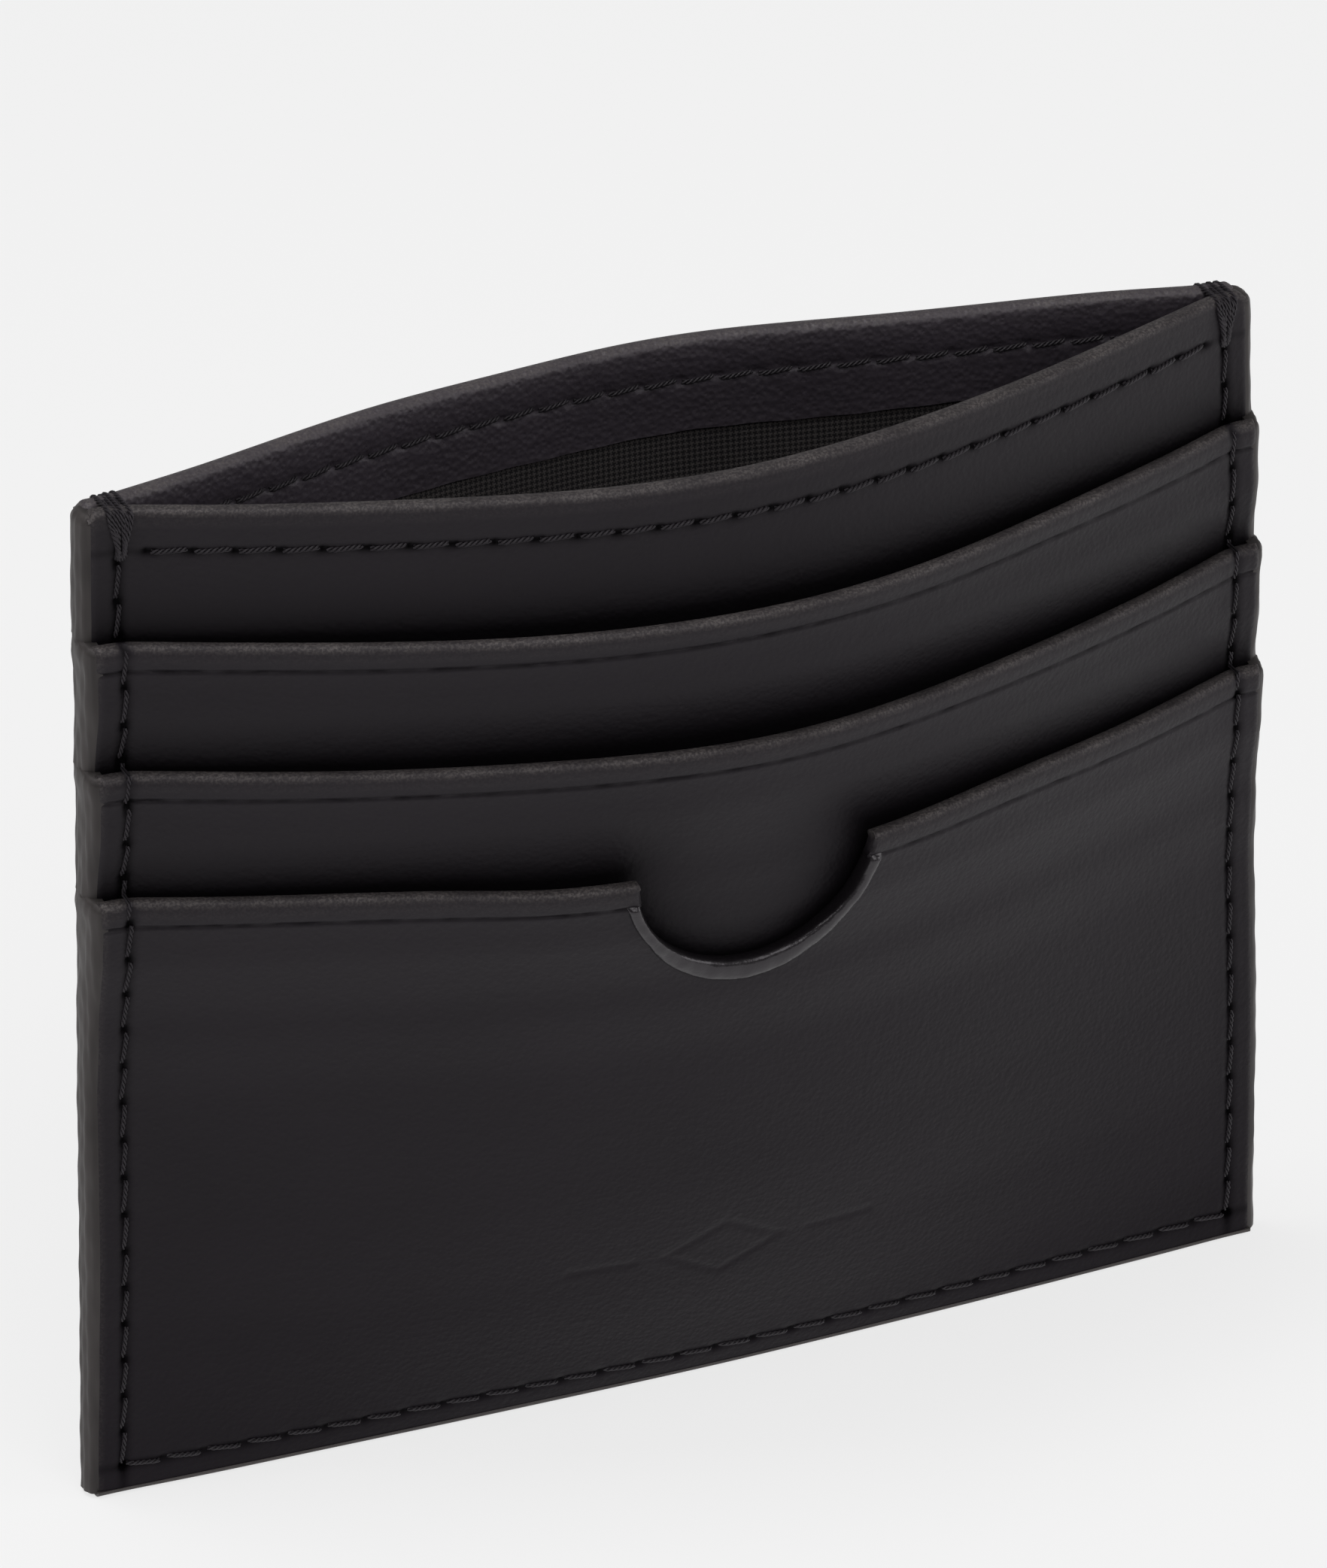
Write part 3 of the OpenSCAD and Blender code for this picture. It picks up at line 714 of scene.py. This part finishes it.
def paint_material(name, tone=0.042):
    """Built-up edge paint: satin, streaked along the edge, thin and dark where it runs out on the faces."""
    n = Nodes(name)
    stretch = n.add("ShaderNodeMapping")
    n.link(n.where, stretch.inputs["Vector"])
    stretch.inputs["Scale"].default_value = (1, 1, 0.12)
    streaks = n.noise(1500, 3, 0.5, stretch.outputs["Vector"])
    slow = n.noise(180, 2)
    thin = n.math("MULTIPLY", n.tone_and_painted_light(), 0.36)
    colour = n.colours(n.math("SUBTRACT", n.mix(streaks, slow), thin), (0.0, warm_grey(0.012)),
                       (0.4, warm_grey(tone * 0.85)), (0.7, warm_grey(tone * 1.15)))
    return n.done(colour, n.span(slow, 0.42, 0.56), n.bump(streaks, 0.05, 0.7), specular=0.35,
                  tint=(1, 0.93, 0.94, 1))


def floor_material():
    """A pale sweep that is mostly lit from within, so that it stays even under the lamps."""
    n = Nodes("pale_floor")
    slow = n.noise(1.3, 2)
    colour = n.colours(slow, (0.3, (0.20, 0.20, 0.20)), (0.7, (0.205, 0.205, 0.205)))
    n.surface.inputs["Emission Color"].default_value = (1, 1, 1, 1)
    n.surface.inputs["Emission Strength"].default_value = 0.735
    return n.done(colour, n.span(slow, 0.85, 0.9), specular=0.1)


LEATHER = leather("black_leather")
# the rear wall is the same black leather painted about three and a half times lighter, as painted light
# inside the compartment; its coarser grain is its own
REAR_LEATHER_PAINTED_LIGHTER = leather("rear_leather_painted_lighter", tone=0.032, grain=2.6, rough=0.48, shine=0.42, rubbed_and_highlight=2.6)
BINDING_LEATHER = leather("binding_leather", tone=0.0056, grain=0.15, rough=0.22, shine=0.55)
CLOTH = woven("woven_lining")
THREAD = thread_material("waxed_thread")
PAINT = paint_material("edge_paint")

# ---- leather ----

def build_walls():
    points, faces, tone_and_painted_light = turned_sheet(REAR, "leather", FOOT, step=0.55)
    new_piece("rear_wall_leather", points, faces, REAR_LEATHER_PAINTED_LIGHTER, "rear_panel", tone_and_painted_light)
    points, faces, tone_and_painted_light = turned_sheet(FRONT, "leather0", LEATHER_LOW[0])
    new_piece("front_wall_leather", points, faces, LEATHER, "front_panel", tone_and_painted_light)


def build_card_pockets():
    for i, node in ((1, "upper_card_pocket"), (2, "middle_card_pocket")):
        shares, z_loop, depth, gap, _ = pocket_sheet(i, LEATHER_LOW[i])
        points, tone_and_painted_light = finish_pocket(i, shares, z_loop, depth, gap)
        faces = loop_faces(len(z_loop), len(shares))
        new_piece(node + "_leather", points, faces, LEATHER, node, tone_and_painted_light)


HEM_LOW = LIPS[3] - CREASE_DROP - 0.1


def notch_edge(hand, z):
    """X of the hem's end beside the notch."""
    reach = np.sqrt(np.maximum((NOTCH_R - 0.12) ** 2 - (z - NOTCH_Z) ** 2, 0))
    return NOTCH_X + hand * reach


def square_hem_end(hand, column, x, z_loop):
    """Brings the columns near the notch to the hem's end; returns x and the rounding of that end."""
    edge = notch_edge(hand, z_loop)[:, None]
    in_hem = ramp(z_loop - HEM_LOW + 1.2)[:, None]
    x = x + (edge - x[:, column:column + 1]) * hump((x - edge) / 1.6) * in_hem
    fillet = 0.32
    from_edge = np.clip(hand * (x - edge), 0, fillet)
    drop = fillet - np.sqrt(np.maximum(fillet ** 2 - (fillet - from_edge) ** 2, 0))
    near = np.where(hand * (x - edge) > -0.4, 1.0, 0.0) * in_hem
    return x, drop * near


def notch_cells(x, z_loop, ends):
    """Cells of the outer half of the loop that the notch takes away, and the columns between its ends."""
    half = len(z_loop) // 2
    z_mid = (z_loop[:half] + z_loop[1:half + 1])[:, None] / 2
    x_mid = (x[:half, :-1] + x[:half, 1:]) / 2
    under_binding = (x_mid - NOTCH_X) ** 2 + (z_mid - NOTCH_Z) ** 2 < (NOTCH_R + 0.45) ** 2
    column = np.arange(x.shape[1] - 1)[None, :]
    through = (column >= ends[0]) & (column < ends[1])
    return np.where(z_mid > HEM_LOW, through, under_binding), through


def rim_faces(cut, rows, cols):
    """Faces across the leather's thickness, all round the cells that are cut away."""
    faces = []
    for r in range(len(cut)):
        row, back = r * cols, (rows - 1 - r) * cols
        for c in range(1, cols - 1):
            if cut[r, c - 1] != cut[r, c]:
                faces.append([row + c, row + cols + c, back - cols + c, back + c])
        for c in range(cols - 1):
            if r and cut[r - 1, c] != cut[r, c]:
                faces.append([row + c, row + c + 1, back + c + 1, back + c])
    return faces


def build_front_pocket():
    """The lowest tier, with its half-moon cut out under the binding and squared off through the hem."""
    fine_z = [(SEAM_Z, 0.6, 0.2), (MARK_Z, 2.8, 0.25), (LIPS[3] - 7.3, 4.4, 0.25)]
    fine_x = [(0.0, 12.6, 0.24)]
    shares, z_loop, depth, gap, face_rows = pocket_sheet(3, FOOT, fine_z, fine_x, step=0.5)
    rows, cols = depth.shape
    x = shares[None, :] * half_w(z_loop)[:, None]
    lip_x = shares * half_w(LIPS[3])
    ends = []
    for hand in (-1, 1):
        ends.append(int(np.argmin(np.abs(lip_x - notch_edge(hand, LIPS[3] - 1)))))
        x, drop = square_hem_end(hand, ends[-1], x, z_loop)
        depth[:face_rows] -= drop[:face_rows]
        depth[rows - face_rows:] += drop[rows - face_rows:]
    cut, through = notch_cells(x, z_loop, ends)
    half = len(cut)
    skip = np.zeros((rows, cols - 1), bool)
    skip[:half] = cut
    skip[rows - 1 - half:rows - 1] = cut[::-1]
    skip[half:rows - half] |= through
    points, tone_and_painted_light = finish_pocket(3, shares, z_loop, depth, gap, x)
    faces = loop_faces(rows, cols, skip) + rim_faces(cut, rows, cols)
    points, faces, tone_and_painted_light = drop_loose(points, faces, tone_and_painted_light)
    new_piece("front_pocket_leather", points, faces, LEATHER, "front_pocket", tone_and_painted_light)


def drop_loose(points, faces, tone_and_painted_light):
    """Leaves out points that no face uses."""
    faces = [list(dict.fromkeys(f)) for f in faces]
    faces = [f for f in faces if len(f) > 2]
    used = np.unique(np.concatenate([np.asarray(f) for f in faces]))
    place = np.full(len(points), -1)
    place[used] = np.arange(len(used))
    return points[used], [place[f].tolist() for f in faces], tone_and_painted_light[used]


def build_binding():
    """A strip folded over the notch's raw edge, its ends tucked under the turned hem."""
    start = math.asin((NOTCH_Z - HEM_LOW - 0.9) / NOTCH_R)
    turn = np.linspace(math.pi + start, 2 * math.pi - start, 150)
    k_in, k_out = layer_index(FRONT, "hem3"), layer_index(FRONT, "leather3")
    # distance from the rim, and height over the leather in front (1) or behind (0)
    section = [
        (1.62, 1, 0.03), (1.58, 1, 0.20), (1.42, 1, 0.30), (1.15, 1, 0.36), (0.85, 1, 0.37),
        (0.55, 1, 0.33), (0.30, 1, 0.22), (0.12, 1, 0.04), (0.02, 1, -0.22), (0.0, 1, -0.5),
        (0.0, 0, 0.45), (0.03, 0, 0.15), (0.15, 0, -0.12), (0.40, 0, -0.27), (0.9, 0, -0.33),
        (2.2, 0, -0.32), (3.7, 0, -0.26), (3.95, 0, -0.14), (3.95, 0, -0.03), (0.3, 0, -0.03),
        (0.3, 1, 0.03),
    ]
    off, place, lift = (np.array(v, float)[None, :] for v in zip(*section))
    angle = turn[:, None]
    # the front flange follows a lower circle than the rim, so it is widest at the bottom
    fall = BINDING_FALL * -np.sin(angle)
    width = fall + np.sqrt(NOTCH_R ** 2 - BINDING_FALL ** 2 + fall ** 2) - NOTCH_R
    off = np.where(place == 1, off * np.maximum(width, 0.95) / BINDING_W, off)
    x = NOTCH_X + (NOTCH_R + off) * np.cos(angle)
    z = NOTCH_Z + (NOTCH_R + off) * np.sin(angle)
    tucked = ramp((z - HEM_LOW + 0.15) / 0.45) * place
    lift = lift * (1 - tucked) - 0.25 * tucked
    depth = np.where(place == 1, depth_of(FRONT, k_out + 1, z), depth_of(FRONT, k_in, z)) + lift
    waver = 0.02 * np.sin(angle * 21 + off * 2) + 0.015 * np.sin(angle * 47)
    z = z + lip_warp(3, x) * near_lip(3, z)
    grid = wall_at(FRONT, x, z, depth + waver * place, flare(FRONT, k_out, z))
    m, n = grid.shape[:2]
    tone_and_painted_light = 0.10 * hump((off - 0.25) / 0.35) + 0.12 * hump((off - 1.6) / 0.12)
    tone_and_painted_light = np.broadcast_to(tone_and_painted_light, (m, n)).reshape(-1)
    new_piece("notch_binding_strip", grid.reshape(-1, 3), tube_faces(m, n), BINDING_LEATHER,
              "notch_binding", tone_and_painted_light, sharp=60)


# ---- cloth ----

def build_cloth():
    """The two linings of the compartment and the cloth behind the three upper tiers."""
    layers = [
        (REAR, "lining", "rear_lining", FOOT, LINING_TOP, "rear_wall_leather"),
        (FRONT, "lining", "front_lining", FOOT, LINING_TOP, "front_wall_leather"),
    ]
    rests = ("front_wall_leather", "upper_card_pocket_leather", "middle_card_pocket_leather")
    for i, node in enumerate(BACKING_NODES):
        layers.append((FRONT, f"backing{i}", node, *BACKING_SPAN[i], rests[i]))
    shares = width_shares(0.8)
    for side, layer, node, low, high, rest in layers:
        points, faces = cloth_layer(side, layer, low, high, shares)
        piece = new_piece(node + "_cloth", points, faces, CLOTH, node)


# ---- paint on the cut edges ----

PAINT_IN = 0.55          # how far the paint runs in over the faces
PAINT_OUT = 0.74         # how far it stands out at its middle


def round_step(z, lip, reach=0.7):
    """1 well below a lip, rounding over to 0 at its top."""
    t = np.clip((z - (lip - reach)) / reach, 0, 1)
    return np.where(z > lip, 0.0, np.sqrt(np.maximum(1 - t * t, 0)))


def edge_front(z):
    """Depth of the front face at a cut edge, with the lips' steps rounded."""
    inner = depth_of(FRONT, layer_index(FRONT, "backing1"), z)
    total = np.where(z > LIPS[1], depth_of(FRONT, layer_index(FRONT, "leather0") + 1, z), inner)
    for i in (1, 2, 3):
        first = layer_index(FRONT, f"backing{i}") if i < 3 else layer_index(FRONT, "hem3")
        last = layer_index(FRONT, f"leather{i}")
        own = depth_of(FRONT, last + 1, z) - depth_of(FRONT, first, z)
        total = total + own * round_step(z, LIPS[i])
    return total


def build_side_paint():
    top = BODY_H - 0.3
    z = levels(0.02, top, 0.35, [(lip - 0.3, 0.9, 0.08) for lip in LIPS])
    front = SEAM_Y - edge_front(z) + 0.04 + EDGE_FALL
    rear = SEAM_Y + skin_depth(REAR, z)[0] - 0.04 - EDGE_FALL
    # the coat is rounded off at its top and its foot
    cap = np.sqrt(np.clip(1 - np.clip((z - top + 0.8) / 0.8, 0, 1) ** 2, 0.02, 1))
    cap = cap * np.sqrt(np.clip(1 - np.clip((0.35 - z) / 0.35, 0, 1) ** 2, 0.3, 1))
    turn = np.linspace(-0.5 * math.pi, 0.5 * math.pi, 27)
    across = np.sign(np.sin(turn)) * np.abs(np.sin(turn)) ** 0.80
    out = np.abs(np.cos(turn)) ** 0.75
    mid, half = (front + rear) / 2, (rear - front) / 2 * (0.55 + 0.45 * cap)
    y = mid[:, None] + half[:, None] * across[None, :]
    swelling = sum(0.16 * hump((z - lip + 1.0) / 0.8) for lip in LIPS[1:])
    reach = PAINT_IN + (PAINT_OUT - 0.15) * cap + swelling
    thin = np.broadcast_to(ramp((np.abs(across) - 0.5) / 0.5), y.shape).reshape(-1)
    for hand, word in ((-1, "left"), (1, "right")):
        ridge = 0.045 * np.cos(y * 2 * math.pi / 0.72 + 0.5 * np.sin(z[:, None] * 0.13) + hand)
        ridge = ridge + 0.03 * np.sin(z[:, None] * 0.9 + 2.1 * y) + 0.02 * np.sin(z[:, None] * 2.3 - 3 * y)
        outward = -PAINT_IN + (reach[:, None] + ridge * cap[:, None]) * out[None, :]
        x = hand * (half_w(z)[:, None] + outward) + (RIGHT_SPREAD if hand > 0 else 0)
        grid = np.stack([x, y, np.broadcast_to(z[:, None], x.shape)], -1)
        new_piece(f"edge_paint_{word}_coat", grid.reshape(-1, 3), tube_faces(*y.shape), PAINT,
                  f"edge_paint_{word}", thin, sharp=70)


def build_bottom_paint():
    reach = half_w(FOOT) - 0.1
    x = np.linspace(-reach, reach, 260)
    turn = np.linspace(math.pi, 2 * math.pi, 17)
    z_at = np.full_like(x, FOOT + 0.25)
    front = wall_at(FRONT, x, z_at, skin_depth(FRONT, z_at)[0] + 0.06)[:, 1]
    rear = wall_at(REAR, x, z_at, skin_depth(REAR, z_at)[0] + 0.05)[:, 1]
    mid, half = (front + rear) / 2, (rear - front) / 2
    across = np.sign(np.cos(turn)) * np.abs(np.cos(turn)) ** 0.7
    down = np.abs(np.sin(turn)) ** 0.6
    y = mid[:, None] - half[:, None] * across[None, :]
    z = (FOOT + 0.3) * (1 - down[None, :])
    z = np.maximum(z + 0.015 * np.cos(y * 8.7), 0)
    grid = np.stack([settled(np.broadcast_to(x[:, None], y.shape), z), y, z], -1)
    new_piece("edge_paint_bottom_coat", grid.reshape(-1, 3), tube_faces(*y.shape), PAINT,
              "edge_paint_bottom", sharp=70)


# ---- thread ----

def unit(v):
    return v / np.linalg.norm(v, axis=-1, keepdims=True)


def frames(paths, outward):
    """Two directions across each path, square to it and to each other."""
    along = unit(np.gradient(paths, axis=1))
    a = unit(np.cross(along, outward))
    return a[:, :, None], np.cross(a, along)[:, :, None]


def tubes(paths, radius, outward, sides=5):
    """Round tubes along paths, an array of (path, sample, xyz); outward is a direction off every path."""
    a, b = frames(paths, outward)
    turn = np.linspace(0, 2 * math.pi, sides, endpoint=False)[:, None]
    rings = paths[:, :, None] + radius * (np.cos(turn) * a + np.sin(turn) * b)
    k, m = paths.shape[:2]
    p, i, j = np.meshgrid(np.arange(k), np.arange(m - 1), np.arange(sides), indexing="ij")
    first = (p * m + i) * sides
    q, r = first + j, first + (j + 1) % sides
    faces = np.stack([q, r, r + sides, q + sides], -1).reshape(-1, 4).tolist()
    for tube in range(k):
        start, end = tube * m * sides, (tube * m + m - 1) * sides
        faces.append([start + j for j in reversed(range(sides))])
        faces.append([end + j for j in range(sides)])
    return rings.reshape(-1, 3), faces


def twisted(paths, diameter, outward, twist, plies=3):
    """Thread of several plies laid round each path, with twist turns a millimetre."""
    a, b = (v[:, :, 0] for v in frames(paths, outward))
    step = np.linalg.norm(np.diff(paths, axis=1), axis=-1)
    run = np.concatenate([np.zeros((len(paths), 1)), np.cumsum(step, 1)], 1)
    phase = np.arange(len(paths))[:, None] * 0.7
    points, faces = np.zeros((0, 3)), []
    for ply in range(plies):
        turn = 2 * math.pi * (run * twist + ply / plies) + phase
        strand = paths + diameter * 0.30 * (np.cos(turn)[..., None] * a + np.sin(turn)[..., None] * b)
        more, more_faces = tubes(strand, diameter * 0.20, outward)
        faces += [[v + len(points) for v in f] for f in more_faces]
        points = np.vstack([points, more])
    return points, faces


def new_thread(name, node, paths, diameter, outward=(0.0, 1.0, 0.0), twist=0.78):
    points, faces = twisted(paths, diameter, outward, twist)
    new_piece(name, points, faces, THREAD, node)


def dip(t, lift, sink):
    """Height of a stitch over the leather along its length: into a needle hole at both ends."""
    return -sink + (sink + lift) * np.minimum(1, np.sin(math.pi * t) * 1.5) ** 0.6


def row_of_stitches(a, b, surface, side, diameter, samples=24, slant=0.18):
    """Stitches from the holes a to the holes b, given as (x, z), over surface(x, z)."""
    t = np.linspace(0.10, 0.90, samples)[None, :, None]
    run = unit(b - a)
    across = np.stack([-run[:, 1], run[:, 0]], -1)
    flat = a[:, None] + (b - a)[:, None] * t + across[:, None] * slant * (0.5 - t) * 2
    x, z = flat[..., 0], flat[..., 1]
    y = surface(x, z) + side * dip(t[..., 0], diameter * 0.14, 0.40)
    return np.stack([settled(x, z), y, z], -1)


def skin_y(side):
    """The Y of the outermost face, as a function of x and z."""
    def surface(x, z):
        depth, gap = skin_depth(side, z)
        return wall_at(side, x, z, depth - 0.1, gap)[..., 1]
    return surface


def inside_y(side):
    """The Y of the wall's face in the compartment."""
    def surface(x, z):
        return wall_at(side, x, z, 0.05)[..., 1]
    return surface


def slot_y(k):
    """The Y of the inner face of the front wall's layer k."""
    def surface(x, z):
        return wall_at(FRONT, x, z, depth_of(FRONT, k, z), flare(FRONT, k, z))[..., 1]
    return surface


def holes_to_steps(x, z):
    """The start and the end of each stitch of a row through these holes."""
    points = np.stack(np.broadcast_arrays(x, z), -1).astype(float)
    return points[:-1], points[1:]


def build_stitching():
    rows = []
    for side in (FRONT, REAR):
        for hand in (-1, 1):
            a, b = holes_to_steps(hand * (half_w(SIDE_HOLES) - SEAM_INSET), SIDE_HOLES)
            rows.append(row_of_stitches(a, b, skin_y(side), side, SEAM_THREAD_D))
        a, b = holes_to_steps(FOOT_HOLES, SEAM_Z)
        rows.append(row_of_stitches(a, b, skin_y(side), side, SEAM_THREAD_D))
    new_thread("perimeter_seam_thread", "perimeter_stitching", np.concatenate(rows), SEAM_THREAD_D)
    for side, word in ((FRONT, "front"), (REAR, "rear")):
        a, b = holes_to_steps(MOUTH_HOLES, MOUTH_Z)
        rows = [row_of_stitches(a, b, skin_y(side), side, MOUTH_THREAD_D, slant=-0.16),
                row_of_stitches(a, b, inside_y(side), -side, MOUTH_THREAD_D, slant=-0.16)]
        new_thread(f"{word}_mouth_seam_thread", f"{word}_mouth_stitching", np.concatenate(rows),
                   MOUTH_THREAD_D)
    for i, node in ((1, "upper_pocket_base_stitching"), (2, "middle_pocket_base_stitching")):
        cloth = slot_y(layer_index(FRONT, f"thread{i}"))
        a, b = holes_to_steps(MOUTH_HOLES, BACKING_SPAN[i][0] + 1)
        row = row_of_stitches(a, b, cloth, FRONT, HIDDEN_THREAD_D, samples=10)
        new_thread(node.replace("stitching", "seam_thread"), node, row, HIDDEN_THREAD_D)


def arc_path(corners, samples):
    """A smooth path through a few corner points."""
    corners = np.asarray(corners, float)
    for _ in range(4):
        cut = np.empty((2 * len(corners) - 2, 3))
        cut[0::2] = 0.75 * corners[:-1] + 0.25 * corners[1:]
        cut[1::2] = 0.25 * corners[:-1] + 0.75 * corners[1:]
        corners = np.vstack([corners[:1], cut[1:-1], corners[-1:]])
    run = np.r_[0, np.cumsum(np.linalg.norm(np.diff(corners, axis=0), axis=1))]
    at = np.linspace(0, run[-1], samples)
    return np.stack([np.interp(at, run, corners[:, i]) for i in range(3)], -1)


def tack_leg(side, x_low, x_top, foot, lift):
    """Corner points of a thread up one face, from its needle hole to just under the mouth."""
    places = [(x_low, foot, -0.35), (x_low, foot + 0.15, lift * 0.6),
              ((x_low + x_top) / 2, BODY_H - 2, lift), (x_top, BODY_H - 0.7, lift)]
    return [wall_at(side, x, z, skin_depth(side, z)[0] + up) for x, z, up in places]


def tack_path(hand, i):
    """Thread i of a tack: up the front face, over the corner of the mouth and down the rear face."""
    share = i / (TACK_THREADS - 1) - 0.5
    crossed = (i * 5 + 2) % TACK_THREADS / (TACK_THREADS - 1) - 0.5
    middle = hand * (half_w(BODY_H) - SEAM_INSET) + 0.15
    lift = TACK_THREAD_D * 0.30
    over = np.array([0, 0, 0.36 + lift + 0.10 * math.cos(i * 2.3)])
    foot = BODY_H - TACK_H + 0.35 - 0.25 * math.cos(2.4 * crossed)
    front, rear = (tack_leg(side, middle + crossed * TACK_LOW_W, middle + share * TACK_TOP_W, foot, lift)
                   for side in (FRONT, REAR))
    bridge = [front[-1] + over + [0, 0.1, 0], (front[-1] + rear[-1]) / 2 + over + [0, 0, 0.1],
              rear[-1] + over - [0, 0.1, 0]]
    return arc_path([*front, *bridge, *reversed(rear)], 60)


def build_bar_tacks():
    for hand, word in ((-1, "left"), (1, "right")):
        paths = np.array([tack_path(hand, i) for i in range(TACK_THREADS)])
        new_thread(f"bar_tack_{word}_thread", f"bar_tack_{word}", paths, TACK_THREAD_D,
                   outward=(1.0, 0.0, 0.0), twist=0.75)


build_walls()
build_card_pockets()
build_front_pocket()
build_binding()
build_cloth()
build_side_paint()
build_bottom_paint()
build_stitching()
build_bar_tacks()

# ---- floor, light and camera ----

def add_floor():
    mesh = bpy.data.meshes.new("floor")
    mesh.from_pydata([(-4, -4, 0), (4, -4, 0), (4, 6, 0), (-4, 6, 0)], [], [(0, 1, 2, 3)])
    mesh.materials.append(floor_material())
    floor = bpy.data.objects.new("floor", mesh)
    bpy.context.scene.collection.objects.link(floor)


def set_place(item, right, up, back, place):
    """Sets an object's axes and its place in metres."""
    rows = np.column_stack([right, up, back, place])
    item.matrix_world = Matrix([[*row] for row in rows] + [[0, 0, 0, 1]])


def add_area(name, size, power, place, target):
    """A square soft light, in metres and watts, turned from its place to its target."""
    light = bpy.data.lights.new(name, "AREA")
    light.size = size
    light.energy = power
    lamp = bpy.data.objects.new(name, light)
    bpy.context.scene.collection.objects.link(lamp)
    place, target = np.array(place), np.array(target)
    back = unit(place - target)
    right = unit(np.cross([0, 0, 1], back))
    set_place(lamp, right, np.cross(back, right), back, place)


def add_light():
    world = bpy.data.worlds.new("studio")
    world.use_nodes = True
    world.node_tree.nodes["Background"].inputs["Color"].default_value = (1, 1, 1, 1)
    world.node_tree.nodes["Background"].inputs["Strength"].default_value = 0.22
    bpy.context.scene.world = world
    add_area("key_above", 0.35, 3.8, (-0.2, 0.1, 1.1), (0, 0, 0.04))
    add_area("front_above", 0.8, 4.1, (0.0, -0.85, 0.95), (0, 0, 0.06))
    add_area("left_side", 0.2, 0.23, (-0.33, -0.05, 0.36), (-0.04, 0, 0.06))
    add_area("right_front", 0.6, 2.2, (0.85, -0.45, 0.4), (0, 0, 0.04))


CAM_AZIMUTH, CAM_ELEVATION, CAM_ROLL = 23.8082, 26.9308, -0.3993
CAM_DISTANCE, CAM_LENS = 723.288, 225.23
CAM_ASIDE, CAM_UP = -1.2005, 8.1223        # off the line through the middle of the holder


def add_camera():
    a, e, r = (math.radians(v) for v in (CAM_AZIMUTH, CAM_ELEVATION, CAM_ROLL))
    forward = np.array([math.sin(a) * math.cos(e), math.cos(a) * math.cos(e), -math.sin(e)])
    right = np.array([math.cos(a), -math.sin(a), 0])
    up = np.cross(right, forward)
    place = np.array([0, 0, BODY_H / 2]) - forward * CAM_DISTANCE + right * CAM_ASIDE + up * CAM_UP
    right, up = math.cos(r) * right + math.sin(r) * up, -math.sin(r) * right + math.cos(r) * up
    data = bpy.data.cameras.new("camera")
    data.lens = CAM_LENS
    data.clip_start = 0.01
    camera = bpy.data.objects.new("camera", data)
    bpy.context.scene.collection.objects.link(camera)
    set_place(camera, right, up, -forward, place * MM)
    bpy.context.scene.camera = camera


add_floor()
add_light()
add_camera()
bpy.context.scene.view_settings.view_transform = "Standard"
